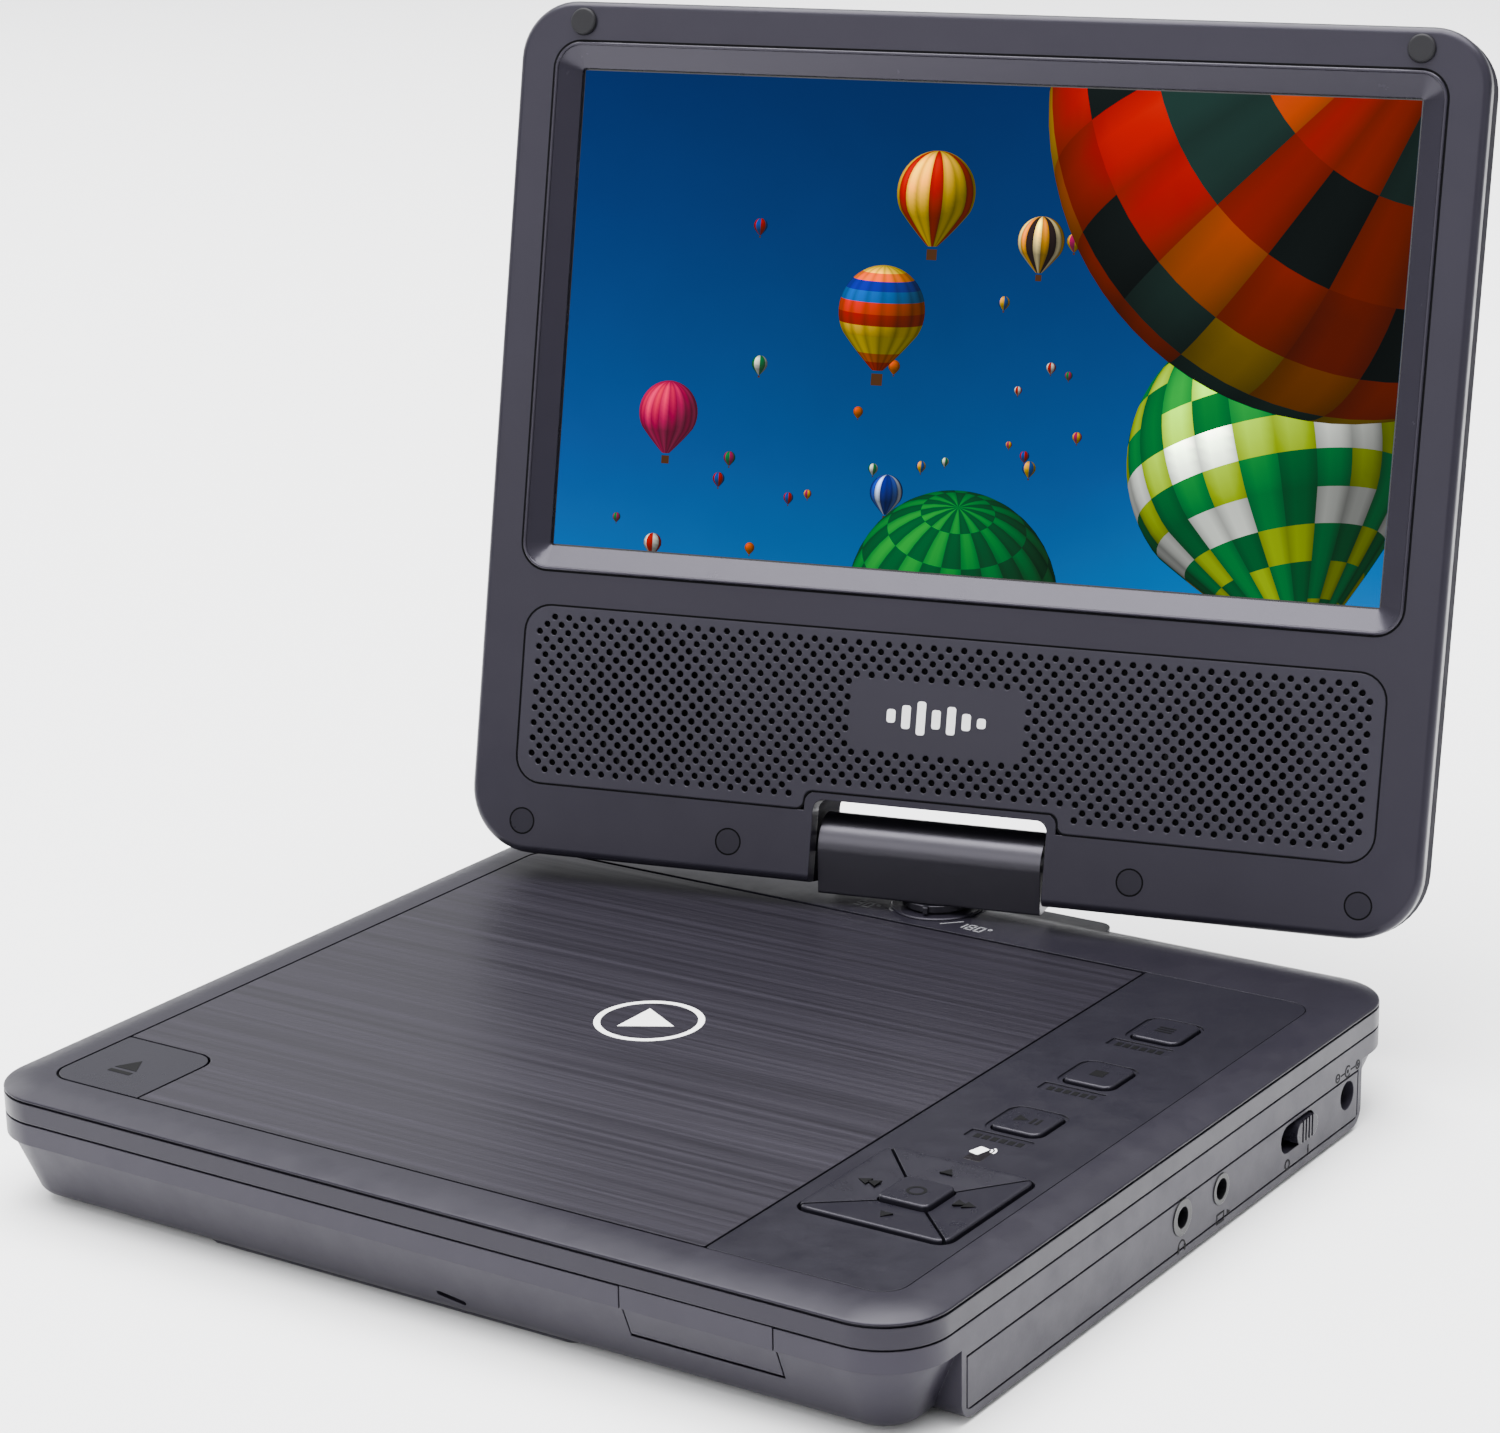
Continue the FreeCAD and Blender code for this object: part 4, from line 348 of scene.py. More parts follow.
def soften(obj, angle=28.0):
    """Smooth shading across a CAD piece's facets, with its real edges kept."""
    obj.data.polygons.foreach_set("use_smooth", [True] * len(obj.data.polygons))
    weld = obj.modifiers.new("Weld", "WELD")
    weld.merge_threshold = 0.000002
    split = obj.modifiers.new("Split", "EDGE_SPLIT")
    split.split_angle = math.radians(angle)
    weighted = obj.modifiers.new("Weighted", "WEIGHTED_NORMAL")
    weighted.keep_sharp = True


# ---- carried-over CAD pieces ----------------------------------------------
for row in record["subparts"]:
    obj = nodes[row["node"]]
    obj.data.materials.clear()
    obj.data.materials.append(SLOT_MATERIALS[row["material_slot"]])
    soften(obj)

nodes["rear_shell"].data.materials[0] = moulded("RearCover", (0.0095, 0.0086, 0.0128), 0.6,
                                                specular=0.01, tint=VIOLET)
nodes["bezel"].data.materials[0] = moulded("Bezel", (0.0108, 0.0098, 0.0148), 0.34,
                                           specular=0.24, tint=VIOLET)
nodes["bumpers"].data.materials[0] = moulded("BumperGrey", (0.009, 0.0088, 0.0105), 0.6,
                                             specular=0.18)

# ---- picture on the display ------------------------------------------------
PICTURE_Z = -2.98
LIGHT = Vector((-0.55, 0.62, 0.56)).normalized()
HALF_W = VIEW_HALF_W - 0.35
PIC_LOW, PIC_HIGH = 0.3, VIEW_H - 0.3


# The view darkens and greys strong colours. These undo it, so that the lit picture shows the
# colours that its paints are written in.
TO_WIDE = Matrix(((0.6274, 0.3293, 0.0433), (0.0691, 0.9195, 0.0113), (0.0164, 0.0880, 0.8956)))
INSET = Matrix(((0.8566, 0.0951, 0.0483), (0.1373, 0.7612, 0.1014), (0.1119, 0.0768, 0.8113)))
OUTSET = Matrix(((1.1271, -0.1106, -0.0165), (-0.1413, 1.1578, -0.0165),
                 (-0.1413, -0.1106, 1.2519)))
FROM_WIDE, FROM_INSET, FROM_OUTSET = TO_WIDE.inverted(), INSET.inverted(), OUTSET.inverted()
LOW_STOP, STOPS = -12.4739, 16.5


def film_curve(x):
    return (15.5 * x ** 6 - 40.14 * x ** 5 + 31.96 * x ** 4 - 6.868 * x ** 3 + 0.4298 * x ** 2
            + 0.1191 * x - 0.00232)


def film_stop(value):
    """Where on the curve a shown value lies, found by halving."""
    low, high = 0.0, 1.0
    for _ in range(24):
        mid = (low + high) / 2
        if film_curve(mid) < value:
            low = mid
        else:
            high = mid
    return low


def lit(r, g, b):
    """Light that shows as this colour, written in 0 to 255 display values."""
    shown = Vector([(c / 255 / 12.92) if c / 255 <= 0.04045 else ((c / 255 + 0.055) / 1.055) ** 2.4
                    for c in (r, g, b)])
    wide = TO_WIDE @ shown
    raw = FROM_OUTSET @ Vector([max(c, 0.0) ** (1 / 2.2) for c in wide])
    light = Vector([2 ** (film_stop(c) * STOPS + LOW_STOP) for c in raw])
    return tuple(max(0.0, c) for c in FROM_WIDE @ (FROM_INSET @ light))


class Picture:
    """Flat coloured faces on the display, gathered and built as one mesh."""
    def __init__(self):
        self.points = []
        self.faces = []
        self.colours = []

    def add(self, corners, colours, depth):
        start = len(self.points)
        for x, y in corners:
            self.points.append(FACE_PLANE @ Vector((x, VIEW_BOTTOM + y, PICTURE_Z + depth)))
        self.faces.append(list(range(start, len(self.points))))
        self.colours += colours

    def build(self, name, material):
        obj = mesh_piece(name, self.points, self.faces, "screen", material)
        layer = obj.data.color_attributes.new("Picture", "FLOAT_COLOR", "POINT")
        flat = []
        for c in self.colours:
            flat += [c[0], c[1], c[2], 1.0]
        layer.data.foreach_set("color", flat)
        obj.visible_glossy = False
        obj.visible_diffuse = False
        return obj


def clip(corners, colours):
    """Keeps what lies inside the picture's edges."""
    pts = [(x, y, c) for (x, y), c in zip(corners, colours)]
    for axis, limit, sign in ((0, -HALF_W, 1), (0, HALF_W, -1), (1, PIC_LOW, 1), (1, PIC_HIGH, -1)):
        out = []
        for i in range(len(pts)):
            a, b = pts[i - 1], pts[i]
            da, db = (a[axis] - limit) * sign, (b[axis] - limit) * sign
            if (da >= 0) != (db >= 0):
                t = da / (da - db)
                out.append((a[0] + (b[0] - a[0]) * t, a[1] + (b[1] - a[1]) * t,
                            tuple(p + (q - p) * t for p, q in zip(a[2], b[2]))))
            if db >= 0:
                out.append(b)
        pts = out
        if len(pts) < 3:
            return [], []
    return [(p[0], p[1]) for p in pts], [p[2] for p in pts]


# A balloon of unit radius: a round dome, then a skirt that narrows to the mouth.
DOME_SHARE = 0.66
DOME_TURN = math.radians(118)
SKIRT_SLOPE = math.radians(122)
MOUTH_R, MOUTH_H = 0.13, -1.3


def balloon_profile(t):
    """Radius, height and outward slope along a balloon from crown to mouth."""
    if t < DOME_SHARE:
        a = DOME_TURN * t / DOME_SHARE
        return math.sin(a), math.cos(a), (math.sin(a), math.cos(a))
    s = (t - DOME_SHARE) / (1 - DOME_SHARE)
    r0, h0 = math.sin(DOME_TURN), math.cos(DOME_TURN)
    r1, h1 = MOUTH_R, MOUTH_H
    r = r0 + (r1 - r0) * s + 0.1 * s * (1 - s)
    h = h0 + (h1 - h0) * s
    return r, h, (math.sin(SKIRT_SLOPE), math.cos(SKIRT_SLOPE))


def balloon(picture, cx, cy, r, depth, paint, gores=12, slices=3, bands=18, pitch=0.0,
            roll=0.0, turn=0.0, basket=True, puff=0.16, light=LIGHT):
    """Hot-air balloon seen from the front. paint(gore, t) gives a display colour."""
    p, q = math.radians(pitch), math.radians(roll)
    total = gores * slices

    def at(i, t):
        phi = 2 * math.pi * i / total + math.radians(turn)
        rho, h, (nr, nh) = balloon_profile(t)
        v = Vector((rho * math.sin(phi), h, rho * math.cos(phi)))
        n = Vector((nr * math.sin(phi), nh, nr * math.cos(phi)))
        for w in (v, n):
            w.rotate(Matrix.Rotation(p, 3, "X"))
            w.rotate(Matrix.Rotation(q, 3, "Z"))
        rib = 0.5 - 0.5 * math.cos(2 * math.pi * (i % slices) / slices)
        shade = 0.5 + 0.6 * max(0.0, n.dot(light)) + puff * (rib - 0.5)
        shade *= 0.74 + 0.26 * min(1.0, max(0.0, n.z) * 1.7)
        return v, n, shade

    for i in range(total):
        for j in range(bands):
            t0, t1 = j / bands, (j + 1) / bands
            corners = [at(i, t0), at(i + 1, t0), at(i + 1, t1), at(i, t1)]
            if sum(c[1].z for c in corners) <= 0.0:
                continue
            colour = paint(i // slices, (t0 + t1) / 2)
            xy = [(cx + c[0].x * r, cy + c[0].y * r) for c in corners]
            glow = [lit(*(min(250.0, k * c[2]) for k in colour)) for c in corners]
            xy, glow = clip(xy, glow)
            if xy:
                picture.add(xy, glow, depth)
    if basket:
        down = Vector((0, -1, 0))
        down.rotate(Matrix.Rotation(q, 3, "Z"))
        bx, by = cx + down.x * r * 1.5, cy + down.y * r * 1.5
        s = r * 0.13
        xy, glow = clip([(bx - s, by - s), (bx + s, by - s), (bx + s, by + s), (bx - s, by + s)],
                        [lit(96, 58, 34)] * 4)
        if xy:
            picture.add(xy, glow, depth)


def sky(x, y):
    v = (y - PIC_LOW) / (PIC_HIGH - PIC_LOW)
    stops = ((0.0, (12, 118, 170)), (0.22, (3, 100, 157)), (0.46, (2, 86, 143)),
             (0.7, (2, 73, 131)), (1.0, (2, 60, 117)))
    for (a, ca), (b, cb) in zip(stops, stops[1:]):
        if v <= b:
            break
    t = (v - a) / (b - a)
    side = 1 + 0.10 * abs(x + 12) / VIEW_HALF_W
    glow = max(0.0, 1 - math.hypot((x - 62) / 46, (y - 2) / 30))
    shown = [(p + (q - p) * t) * side for p, q in zip(ca, cb)]
    return lit(*(c + (k - c) * glow * 0.3 for c, k in zip(shown, (110, 185, 212))))


air = Picture()
NX, NY = 48, 27
for ix in range(NX):
    for iy in range(NY):
        xs = [-HALF_W + 2 * HALF_W * (ix + k) / NX for k in (0, 1)]
        ys = [PIC_LOW + (PIC_HIGH - PIC_LOW) * (iy + k) / NY for k in (0, 1)]
        quad = [(xs[0], ys[0]), (xs[1], ys[0]), (xs[1], ys[1]), (xs[0], ys[1])]
        air.add(quad, [sky(*p) for p in quad], 0.0)

flying = Picture()
PALETTE = ((214, 60, 40), (238, 196, 40), (44, 112, 190), (60, 150, 90), (226, 226, 220),
           (200, 70, 120), (232, 130, 40))


def rows(*colours):
    """Paint in level bands from crown to mouth."""
    return lambda gore, t: colours[min(len(colours) - 1, int(t * len(colours)))]


def gored(*colours):
    """Paint in upright gores."""
    return lambda gore, t: colours[gore % len(colours)]


def chequered(a, b, c):
    def paint(gore, t):
        row = int(t * 9)
        return c if row == 4 and gore % 2 else (a if (gore + row) % 2 else b)
    return paint


def slanted(colours, rows_up):
    """Large panels whose colours step along as they go round."""
    def paint(gore, t):
        return colours[(2 * int(t * rows_up) - gore) % len(colours)]
    return paint


SMALL = ((-40.8, 59.9, 1.33), (17.7, 59.8, 1.44), (5.7, 48.6, 1.1), (-39.1, 35.3, 1.53),
         (-57.3, 1.9, 1.76), (-43.6, 18.2, 1.15), (-19.8, 27.9, 0.94), (-45.4, 14.3, 1.16),
         (20.9, 25.9, 0.9), (12.6, 19.9, 1.28), (-16.2, 18.0, 0.94), (9.5, 33.4, 0.73),
         (-64.7, 6.1, 0.79), (-38.5, 2.3, 0.96), (-31.8, 11.8, 0.95), (-28.2, 12.7, 0.76),
         (-7.3, 19.0, 0.93), (-2.9, 20.1, 0.74), (15.2, 37.7, 0.91), (18.5, 36.5, 0.72),
         (-13.7, 36.3, 1.12), (11.6, 22.0, 0.9), (8.6, 23.8, 0.6))
for k, (x, y, r) in enumerate(SMALL):
    a, b = PALETTE[k % 7], PALETTE[(k * 3 + 2) % 7]
    balloon(flying, x, y, r, 0.02, gored(a, b), gores=8, slices=1, bands=7)
balloon(flying, -56.0, 25.6, 5.7, 0.03, gored((214, 62, 108), (228, 82, 126)), gores=20,
        slices=2, pitch=8)
balloon(flying, -13.4, 14.0, 3.1, 0.03, gored((24, 70, 160), (60, 110, 190), (190, 200, 215)),
        gores=16, slices=2, pitch=6)
balloon(flying, 11.6, 59.6, 4.3, 0.03, gored((226, 170, 60), (60, 44, 44), (236, 220, 180)),
        gores=18, slices=2, pitch=4)
balloon(flying, -16.8, 45.9, 8.1, 0.04,
        rows((240, 208, 40), (240, 208, 40), (240, 150, 30), (34, 84, 180), (40, 130, 190),
             (220, 96, 30), (196, 60, 30), (238, 200, 40), (240, 208, 40), (240, 208, 40),
             (232, 120, 30), (214, 60, 26)), gores=16, slices=3, bands=24, pitch=6)
balloon(flying, -8.3, 67.2, 7.3, 0.04, gored((238, 200, 44), (238, 200, 44), (212, 62, 32)),
        gores=18, slices=3, bands=20, pitch=4, turn=10)
balloon(flying, 0.2, -4.4, 19.6, 0.05,
        chequered((36, 150, 74), (20, 100, 54), (178, 214, 186)), gores=22, slices=3, bands=26,
        pitch=32, turn=6, basket=False)
balloon(flying, 55.5, 23.5, 25.4, 0.06,
        lambda gore, t: ((238, 240, 236) if int(t * 12) in (6, 8) and gore % 3 else
                         (196, 208, 40) if (gore + int(t * 12)) % 3 == 0 else
                         (26, 160, 84) if gore % 2 else (16, 128, 66)),
        gores=22, slices=3, bands=36, pitch=-18, roll=14, turn=4, basket=False)
RED, DEEP, GREEN, GOLD, AMBER = ((216, 60, 24), (196, 50, 22), (40, 72, 66), (226, 170, 28),
                                 (226, 112, 20))
balloon(flying, 66.0, 86.0, 55.0, 0.08,
        slanted((RED, RED, GREEN, GREEN, GOLD, AMBER, RED, DEEP, (24, 34, 34)), 9),
        gores=24, slices=3, bands=36, pitch=-62, roll=140, turn=7, basket=False, puff=0.14)
air.build("picture_sky", picture_material("PictureSky", 1.0))
flying.build("picture_balloons", picture_material("PictureBalloons", 1.0))

# ---- speaker grille --------------------------------------------------------
GRILLE = {"w": 79.9, "low": 6.0, "high": 38.7, "r": 5.0, "nw": 23.6, "nt": 9.4, "nr": 1.6}
GRILLE_T = 1.4
LATTICE = 1.4
GRILLE_MID = 22.6
HOLE_R = 0.68
HOLE_EDGE = 0.1
HOLE_EDGE_OPEN = 0.05
HOLE_SIDES = 12
DIMPLE = 0.7
SOUND_X = 54.6
SOUND_R = 12.8
EDGE_ROOM = 1.9
BADGE_HALF_W = 15.8
BADGE_LOW, BADGE_HIGH = 18.4, 29.8


def grille_outline(g):
    w, low, high, r = GRILLE["w"] - g, GRILLE["low"] + g, GRILLE["high"] - g, GRILLE["r"] - g
    nw, nt, nr = GRILLE["nw"] + g, GRILLE["nt"] + g, GRILLE["nr"]
    return filleted([(-w, low, r), (-nw, low, nr - g), (-nw, nt, nr + g), (nw, nt, nr + g),
                     (nw, low, nr - g), (w, low, r), (w, high, r), (-w, high, r)], 7)


def in_grille(x, z, room):
    w, low, high = GRILLE["w"] - room, GRILLE["low"] + room, GRILLE["high"] - room
    if abs(x) > w or z < low or z > high:
        return False
    if abs(x) < GRILLE["nw"] + room and z < GRILLE["nt"] + room:
        return False
    if abs(x) < BADGE_HALF_W and BADGE_LOW < z < BADGE_HIGH:
        return False
    cx, r = w - (GRILLE["r"] - room), GRILLE["r"] - room
    for cz in (low + r, high - r):
        beyond = (z - cz) * (1 if cz > GRILLE_MID else -1)
        if abs(x) > cx and beyond > 0 and math.hypot(abs(x) - cx, beyond) > r:
            return False
    return True


def grille_holes():
    """Places of the holes: (x, z, whether it goes right through)."""
    found = []
    for i in range(-60, 61):
        for j in range(-14, 15):
            x, z = i * LATTICE, GRILLE_MID + j * LATTICE
            if (i + j) % 2 == 0 or not in_grille(x, z, EDGE_ROOM):
                continue
            found.append((x, z, math.hypot(abs(x) - SOUND_X, z - GRILLE_MID) < SOUND_R))
    return found


def hole_ring(x, z, r, depth):
    return [(x + r * math.cos(2 * math.pi * k / HOLE_SIDES),
             z + r * math.sin(2 * math.pi * k / HOLE_SIDES), depth) for k in range(HOLE_SIDES)]


def grille_plate():
    """The grille's face with chamfered holes, and near-black linings inside them that paint the shade in
    the holes.
    """
    outline = grille_outline(0.25)
    verts = [Vector(p) for p in outline]
    rings = [list(range(len(outline)))]
    starts = []
    for x, z, through in grille_holes():
        start = len(verts)
        verts += [Vector(p[:2]) for p in hole_ring(x, z, HOLE_R, 0.0)]
        rings.append(list(range(start, start + HOLE_SIDES)))
        starts.append((start, x, z, through))
    flat, _, faces, _, _, origins = delaunay_2d_cdt(verts, [], rings, 0, 1e-6, True)
    points = [(p.x, p.y, 0.0) for p in flat]
    out = [list(f) for f, o in zip(faces, origins) if o == [0]]
    cup_points, cup_faces = [], []
    for start, x, z, through in starts:
        inner = HOLE_R - (HOLE_EDGE_OPEN if through else HOLE_EDGE)
        base, cup = len(points), len(cup_points)
        points += hole_ring(x, z, inner, -HOLE_EDGE)
        bottom = -GRILLE_T if through else -DIMPLE
        cup_points += hole_ring(x, z, inner, -HOLE_EDGE) + hole_ring(x, z, inner * 0.9, bottom)
        for k in range(HOLE_SIDES):
            m = (k + 1) % HOLE_SIDES
            out.append([start + k, start + m, base + m, base + k])
            cup_faces.append([cup + k, cup + m, cup + HOLE_SIDES + m, cup + HOLE_SIDES + k])
        if not through:
            cup_faces.append([cup + HOLE_SIDES + k for k in range(HOLE_SIDES)])
    n = len(outline)
    loops = [list(range(n))]
    for g, z in ((0.07, -0.07), (0.0, -0.25), (0.0, -2.4)):
        base = len(points)
        points += [(x, y, z) for x, y in grille_outline(g)]
        loops.append(list(range(base, base + n)))
    for a, b in zip(loops, loops[1:]):
        for k in range(n):
            m = (k + 1) % n
            out.append([a[k], b[k], b[m], a[m]])
    plate = mesh_piece("grille_plate", [FACE_PLANE @ Vector(p) for p in points], out, "screen",
                       moulded("GrillePlate", (0.0145, 0.0135, 0.0192), 0.36,
                                             specular=0.24, tint=VIOLET))
    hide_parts("grille")
    # Hole walls and dimple floors in near-black: painted shade inside the holes.
    mesh_piece("grille_hole_shade", [FACE_PLANE @ Vector(p) for p in cup_points], cup_faces, "screen",
               GAP_SHADE_BLACK)


grille_plate()


# ---- rounded edge of the display frame, and painted shade lines over the grooves ---
FRAME_BORDER = 4.55
FRAME_W = 2 * (VIEW_HALF_W + FRAME_BORDER)
FRAME_H = VIEW_H + 2 * FRAME_BORDER
FRAME_MID = VIEW_BOTTOM + VIEW_H / 2
FRAME_R = 5.0


def frame_line(inset, segments=10):
    return rounded_rect(0, FRAME_MID, FRAME_W - 2 * inset, FRAME_H - 2 * inset, FRAME_R - inset,
                        segments)


EDGE_W = 0.32
EDGE_SINK = -0.3
EDGE_INSET = 0.1
edge_turns = [math.radians(a) for a in range(0, 181, 30)]
edge_sections = [(frame_line(EDGE_INSET + EDGE_W * (1 - math.cos(a))),
                  EDGE_W * 0.9 * math.sin(a))
                 for a in edge_turns]
edge_sections += [(frame_line(EDGE_INSET + 2 * EDGE_W), EDGE_SINK),
                  (frame_line(EDGE_INSET), EDGE_SINK)]
ring("frame_edge", edge_sections, FACE_PLANE, "screen",
     SLOT_MATERIALS["frame_satin"], True)


GROOVE_TOP = 0.012
GROOVE_BOTTOM = -0.2


# A near-black ring laid over a gap: painted shade standing in for the shadow down in the groove.
def gap_shade_ring(name, outer, inner, plane, top, bottom, body):
    ring(name, [(outer, top), (inner, top), (inner, bottom), (outer, bottom)], plane, body,
         GAP_SHADE_BLACK)


# Painted shade over the gaps round the frame, the grille and the four caps.
gap_shade_ring("gap_shade_frame", frame_line(-0.26), frame_line(0.1), FACE_PLANE, GROOVE_TOP, GROOVE_BOTTOM,
       "screen")
gap_shade_ring("gap_shade_grille", grille_outline(-0.22), grille_outline(0.1), FACE_PLANE, GROOVE_TOP, GROOVE_BOTTOM,
       "screen")
CAP_Z, CAP_R = -1.2, 2.35
for k, x in enumerate((-78.0, -37.5, 37.5, 78.0)):
    gap_shade_ring("gap_shade_cap_%d" % k, arc(x, CAP_Z, CAP_R + 0.16, 0, 345, 23),
           arc(x, CAP_Z, CAP_R - 0.14, 0, 345, 23), FACE_PLANE, GROOVE_TOP, GROOVE_BOTTOM, "screen")
POCKET_X, POCKET_Y, POCKET_R = 80.55, 66.95, 4.5
POCKET_LINE = 0.42
POCKET_LINE_REAR = 0.1   # narrow, because the lid's rear edge swings through the gap
# Painted shade inside the gap round the disc lid's pocket.
gap_shade_ring("gap_shade_pocket", rounded_rect(0, 0, 2 * POCKET_X, 2 * POCKET_Y, POCKET_R, 8),
       rounded_rect(0, (POCKET_LINE - POCKET_LINE_REAR) / 2, 2 * (POCKET_X - POCKET_LINE),
                    2 * POCKET_Y - POCKET_LINE - POCKET_LINE_REAR, POCKET_R - POCKET_LINE, 8),
       TOP_PLANE, -0.5, -2.3, "base")


# ---- printed and moulded marks ---------------------------------------------
def triangle(cx, cy, s, degrees=0.0):
    """Arrowhead that points to the right before it is turned."""
    half, rise = s * 0.5, s * 0.58
    return turned([(cx - half, cy - rise), (cx + half, cy), (cx - half, cy + rise)],
                  degrees, cx, cy)


def bar(cx, cy, w, h, degrees=0.0):
    return turned([(cx - w / 2, cy - h / 2), (cx + w / 2, cy - h / 2), (cx + w / 2, cy + h / 2),
                   (cx - w / 2, cy + h / 2)], degrees, cx, cy)


MARK_T = 0.04
FULL_TURN = 359.9   # a closed ring, with its two ends just apart
KEY_X = 64.9
KEY_TOP = 0.4
STRIP_STEP = 1.5
STRIP_FRONT = 7.9   # the label strip lies this far in front of its key's centre
KEYS = (("key_front", -1.9), ("key_middle", 20.8), ("key_rear", 43.3))
BODY_OF_KEY = {"key_front": "front_key", "key_middle": "middle_key", "key_rear": "rear_key"}
KEY_MARKS = {
    "key_front": [triangle(KEY_X - 1.0, -1.9, 2.2), bar(KEY_X + 0.9, -1.9, 0.5, 2.2),
                  bar(KEY_X + 1.9, -1.9, 0.5, 2.2)],
    "key_middle": [bar(KEY_X, 20.8, 2.4, 2.4)],
    "key_rear": [bar(KEY_X, 43.3 + d, 3.0, 0.45) for d in (-0.9, 0.0, 0.9)],
}
for key, y in KEYS:
    plates("mark_" + key, KEY_MARKS[key], TOP_PLANE, KEY_TOP - 0.02, KEY_TOP + MARK_T,
           BODY_OF_KEY[key], PRINT_BLACK)
    plates("strip_" + key,
           [bar(KEY_X - 4.4 + i * STRIP_STEP, y - STRIP_FRONT, 1.05, 1.5) for i in range(6)],
           TOP_PLANE, -0.31, -0.3 + MARK_T, "base", PRINT_BLACK)

# remote control sign beside the infrared window
REMOTE = (64.7, -15.6)
plates("mark_remote",
       [turned(rounded_rect(REMOTE[0] - 0.6, REMOTE[1], 1.9, 2.8, 0.3), -14, *REMOTE),
        band(REMOTE[0] + 0.4, REMOTE[1] + 0.7, 0.7, 1.0, -20, 60, 8),
        band(REMOTE[0] + 0.4, REMOTE[1] + 0.7, 1.3, 1.6, -20, 60, 8)],
       TOP_PLANE, 0.0, MARK_T, "base", PRINT_WHITE)

# eject sign on the corner button
BUTTON = (-71.0, -57.2)
plates("mark_open",
       [triangle(BUTTON[0], BUTTON[1] + 0.9, 4.0, 90), bar(BUTTON[0], BUTTON[1] - 2.4, 4.6, 1.0)],
       TOP_PLANE, 0.0, MARK_T, "release_button", PRINT_BLACK)

# arrows on the four quarters of the pad and a dot on its middle key
PAD_Y = -35.0
PAD_TOP = 0.6
PAD_REACH = 9.3
for name, body, angle in (("pad_right", "right_pad", 0), ("pad_rear", "rear_pad", 90),
                          ("pad_left", "left_pad", 180), ("pad_front", "front_pad", 270)):
    c, d = math.cos(math.radians(angle)), math.sin(math.radians(angle))
    x, y = KEY_X + PAD_REACH * c, PAD_Y + PAD_REACH * d
    shapes = [triangle(x, y, 1.9, angle)]
    if angle in (0, 180):
        shapes.append(triangle(x - 1.6 * c, y, 1.9, angle))
    plates("mark_" + name, shapes, TOP_PLANE, PAD_TOP - 0.35, PAD_TOP - 0.08, body,
           PRINT_BLACK)
plates("mark_pad_centre", [band(KEY_X, PAD_Y, 1.1, 1.6, 0, FULL_TURN, 24)], TOP_PLANE, 0.78,
       0.8 + MARK_T, "centre_pad", PRINT_BLACK)

# plain play sign on the disc lid, and level bars on the grille
LID_MARK = (-11.0, 3.5)
plates("mark_lid",
       [band(*LID_MARK, 8.2, 9.3, 0, FULL_TURN, 56),
        triangle(LID_MARK[0] + 0.9, LID_MARK[1], 8.2)],
       TOP_PLANE, 0.0, MARK_T, "disc_cover", PRINT_WHITE)
plates("mark_grille", [rounded_rect(-8.4 + 2.8 * i, 24.1, 1.6, h, 0.5)
                       for i, h in enumerate((2.4, 4.2, 6.0, 3.4, 5.0, 3.0, 1.8))],
       FACE_PLANE, 0.0, MARK_T, "screen", PRINT_WHITE)


# swivel angles beside the post
def digits(text, x, y, h, angle):
    """Seven-bar numerals."""
    bars = {"0": "abcdef", "1": "bc", "8": "abcdefg", "9": "abcdfg"}
    w, t, out = h * 0.55, h * 0.16, []
    spots = {"a": (0, h, w, t), "b": (w / 2, h * 0.75, t, h / 2), "c": (w / 2, h * 0.25, t, h / 2),
             "d": (0, 0, w, t), "e": (-w / 2, h * 0.25, t, h / 2), "f": (-w / 2, h * 0.75, t, h / 2),
             "g": (0, h / 2, w, t)}
    for i, ch in enumerate(text):
        for k in bars[ch]:
            bx, by, bw, bh = spots[k]
            out.append(turned(bar(x + i * (w + 2.2 * t) + bx, y + by, bw + t * 0.9 * (bw > bh),
                                  bh), angle, x, y))
    n = len(text)
    out.append(turned(band(x + n * (w + 2.2 * t) - t, y + h * 0.9, t * 0.5, t * 1.3, 0, FULL_TURN, 10),
                      angle, x, y))
    return out


plates("mark_angle_90", digits("90", -12.9, 70.9, 2.2, -8) + [band(-5.4, 72.7, 1.1, 1.5, 60, 300)],
       TOP_PLANE, -0.02, MARK_T, "base", PRINT_GREY)
plates("mark_angle_180", digits("180", 9.1, 69.9, 2.2, -6) + [bar(7.0, 71.2, 4.4, 0.3, 45)],
       TOP_PLANE, -0.02, MARK_T, "base", PRINT_GREY)

# signs beside the sockets, on the right-hand panel
JACK_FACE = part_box("bottom_case")[1].x / MM
SIDE_PLANE = TO_METRES @ Matrix(((0, 0, 1, JACK_FACE), (1, 0, 0, 0), (0, 1, 0, 0), (0, 0, 0, 1)))
side_marks = [band(5.4, 2.6, 0.95, 1.25, 0, 180, 12), rounded_rect(4.35, 2.3, 0.55, 1.1, 0.2),
              rounded_rect(6.45, 2.3, 0.55, 1.1, 0.2)]
side_marks += [bar(18.4, 3.4, 2.6, 0.3), bar(18.4, 1.9, 2.6, 0.3), bar(17.25, 2.65, 0.3, 1.2),
               bar(19.55, 2.65, 0.3, 1.2), triangle(21.2, 2.65, 1.1)]
side_marks += [bar(49.6, 3.1, 0.35, 1.7), band(42.0, 3.1, 0.6, 0.95, 0, FULL_TURN, 18)]
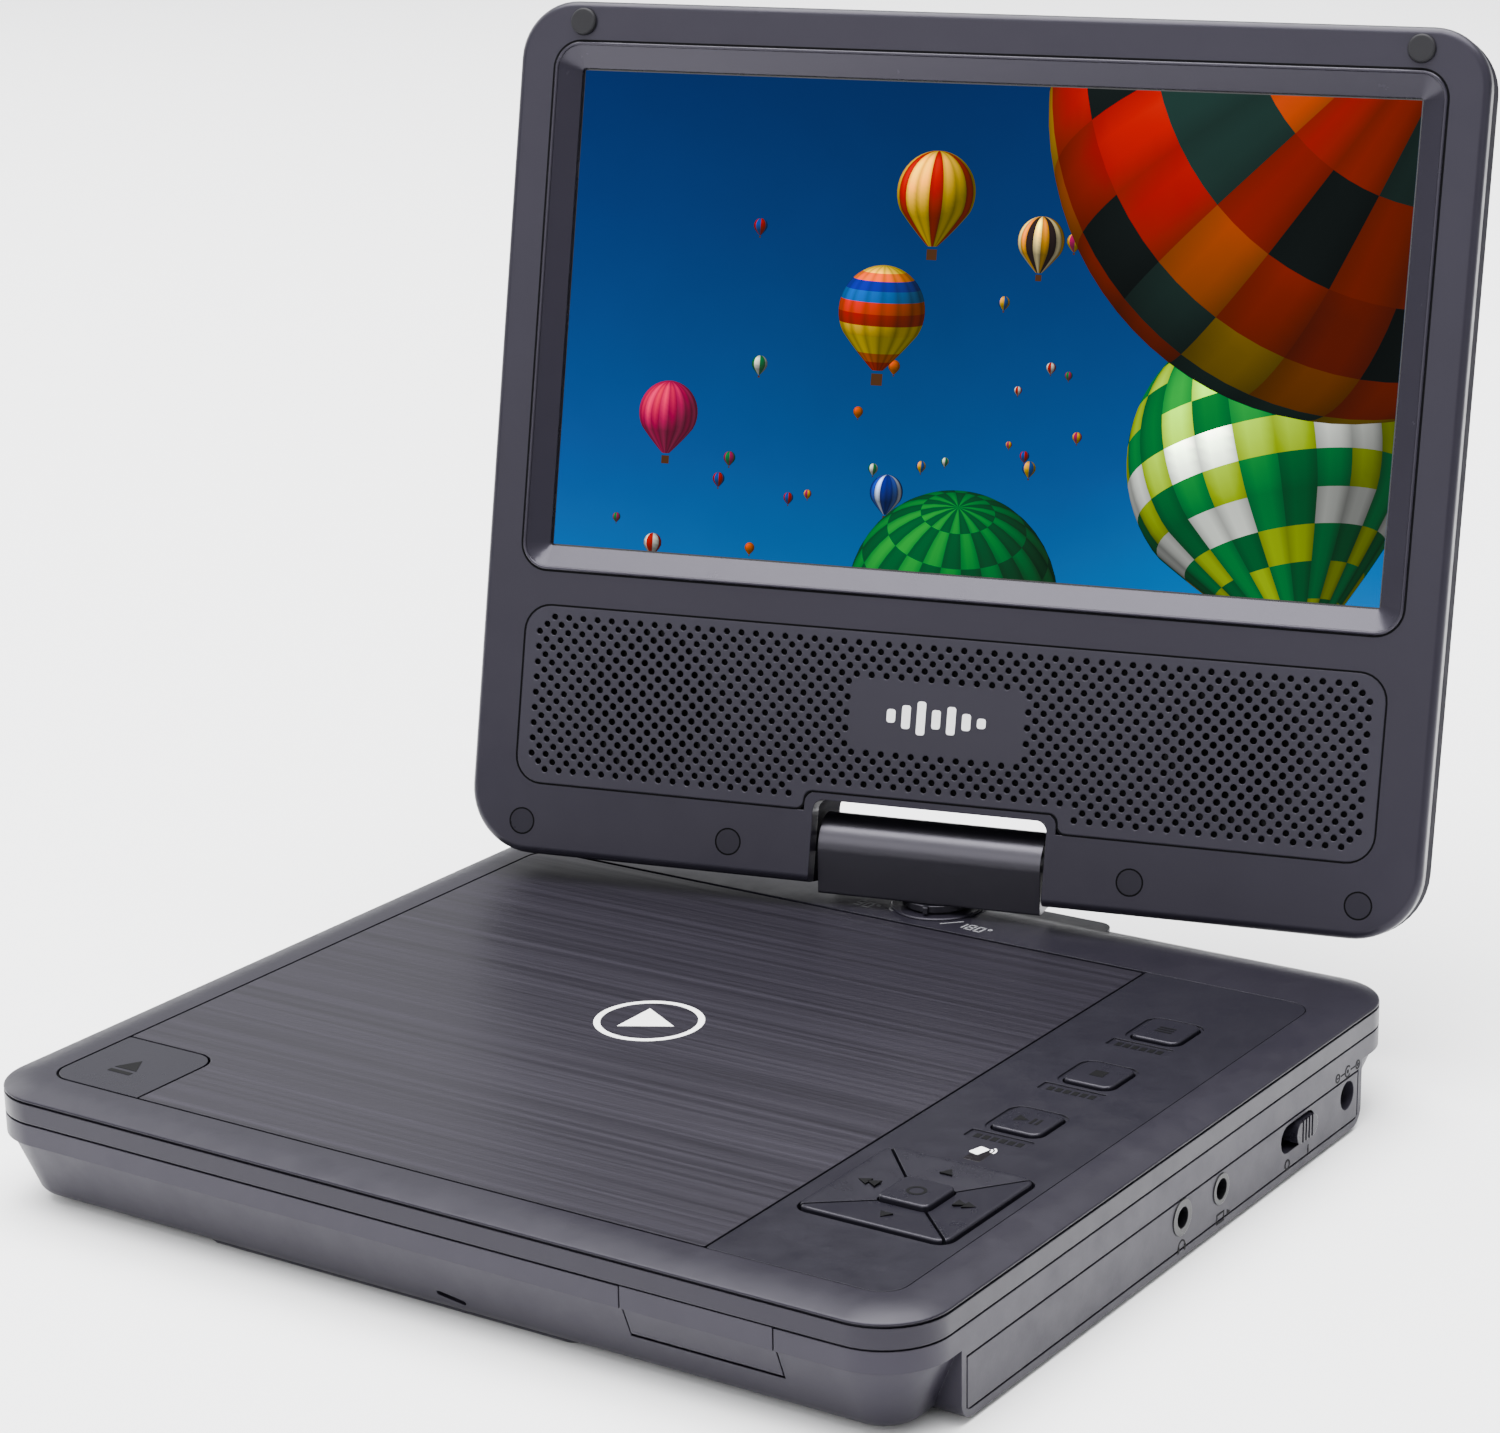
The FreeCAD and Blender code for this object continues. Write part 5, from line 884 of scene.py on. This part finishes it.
side_marks += [band(60.2, 11.9, 0.55, 0.85, 0, FULL_TURN, 16), band(64.0, 11.9, 0.8, 1.1, 40, 320, 16),
               band(67.8, 11.9, 0.55, 0.85, 0, FULL_TURN, 16), bar(62.1, 11.9, 1.4, 0.25),
               bar(65.9, 11.9, 1.6, 0.25), bar(60.2, 11.9, 0.7, 0.2), bar(67.8, 11.9, 0.7, 0.2),
               bar(67.8, 11.9, 0.2, 0.7), band(64.0, 11.9, 0.0, 0.35, 0, FULL_TURN, 10)]
plates("marks_side", side_marks, SIDE_PLANE, -0.02, MARK_T, "base", PRINT_BLACK)

# ---- floor, lights and camera ----------------------------------------------
def area_light(name, place_mm, aim_mm, size, power, colour=(1, 1, 1)):
    lamp = bpy.data.lights.new(name, "AREA")
    lamp.shape = "RECTANGLE"
    lamp.size, lamp.size_y = size
    lamp.energy = power
    lamp.color = colour
    obj = bpy.data.objects.new(name, lamp)
    bpy.context.scene.collection.objects.link(obj)
    obj.location = Vector(place_mm) * MM
    obj.rotation_mode = "QUATERNION"
    obj.rotation_quaternion = (Vector(aim_mm) - Vector(place_mm)).to_track_quat("-Z", "Y")
    return obj


FLOOR = 6.0
floor_mesh = bpy.data.meshes.new("floor")
floor_mesh.from_pydata([(-FLOOR, -FLOOR, 0), (FLOOR, -FLOOR, 0), (FLOOR, FLOOR, 0),
                        (-FLOOR, FLOOR, 0)], [], [(0, 1, 2, 3)])
floor = bpy.data.objects.new("floor", floor_mesh)
bpy.context.scene.collection.objects.link(floor)
floor_mesh.materials.append(moulded("Floor", (0.86, 0.86, 0.865), 0.6, grain=400.0, blotch=0.01,
                                    edge=0.0, specular=0.2))

world = bpy.data.worlds.new("Studio")
world.use_nodes = True
sky_tree = world.node_tree
heading = sky_tree.nodes.new("ShaderNodeTexCoord")
split = sky_tree.nodes.new("ShaderNodeSeparateXYZ")
sky_tree.links.new(heading.outputs["Generated"], split.inputs["Vector"])
rise = ranged(sky_tree, split.outputs["Z"], 0.45, 1.5, 0.1, 0.7)
across = ranged(sky_tree, split.outputs["X"], 1.0, 0.55, -0.1, 0.8)
strength = sky_tree.nodes.new("ShaderNodeMath")
strength.operation = "MULTIPLY"
sky_tree.links.new(rise, strength.inputs[0])
sky_tree.links.new(across, strength.inputs[1])
sky_tree.links.new(strength.outputs[0], sky_tree.nodes["Background"].inputs["Strength"])
sky_tree.nodes["Background"].inputs["Color"].default_value = (0.97, 0.98, 1.0, 1)
bpy.context.scene.world = world
area_light("Overhead", (-200, 100, 2300), (0, 0, 0), (2.6, 2.6), 300.0)
area_light("Front", (-170, -1700, 900), (0, 60, 90), (1.9, 0.95), 15.0)
area_light("Left", (-1700, 300, 700), (0, 0, 40), (1.4, 0.9), 14.0)
area_light("Right", (1700, -300, 700), (0, 0, 40), (1.2, 0.8), 4.0)

cam_data = bpy.data.cameras.new("Camera")
cam_data.sensor_width = 36.0
cam_data.lens = 93.993
cam_data.shift_x = -0.0582
cam_data.shift_y = 0.0906
cam_data.clip_start, cam_data.clip_end = 0.05, 50.0
camera = bpy.data.objects.new("Camera", cam_data)
bpy.context.scene.collection.objects.link(camera)
AZ, EL, ROLL = math.radians(32.8424), math.radians(18.5767), math.radians(-0.5723)
TO_CAMERA = (Matrix.Rotation(ROLL, 3, "Z") @ Matrix.Rotation(EL, 3, "X")
             @ Matrix(((1, 0, 0), (0, 0, -1), (0, 1, 0))) @ Matrix.Rotation(-AZ, 3, "Z"))
right, down, ahead = TO_CAMERA
pose = Matrix((right, -down, -ahead)).transposed().to_4x4()
pose.translation = Vector((345.99, -491.29, 255.04)) * MM
camera.matrix_world = pose
bpy.context.scene.camera = camera
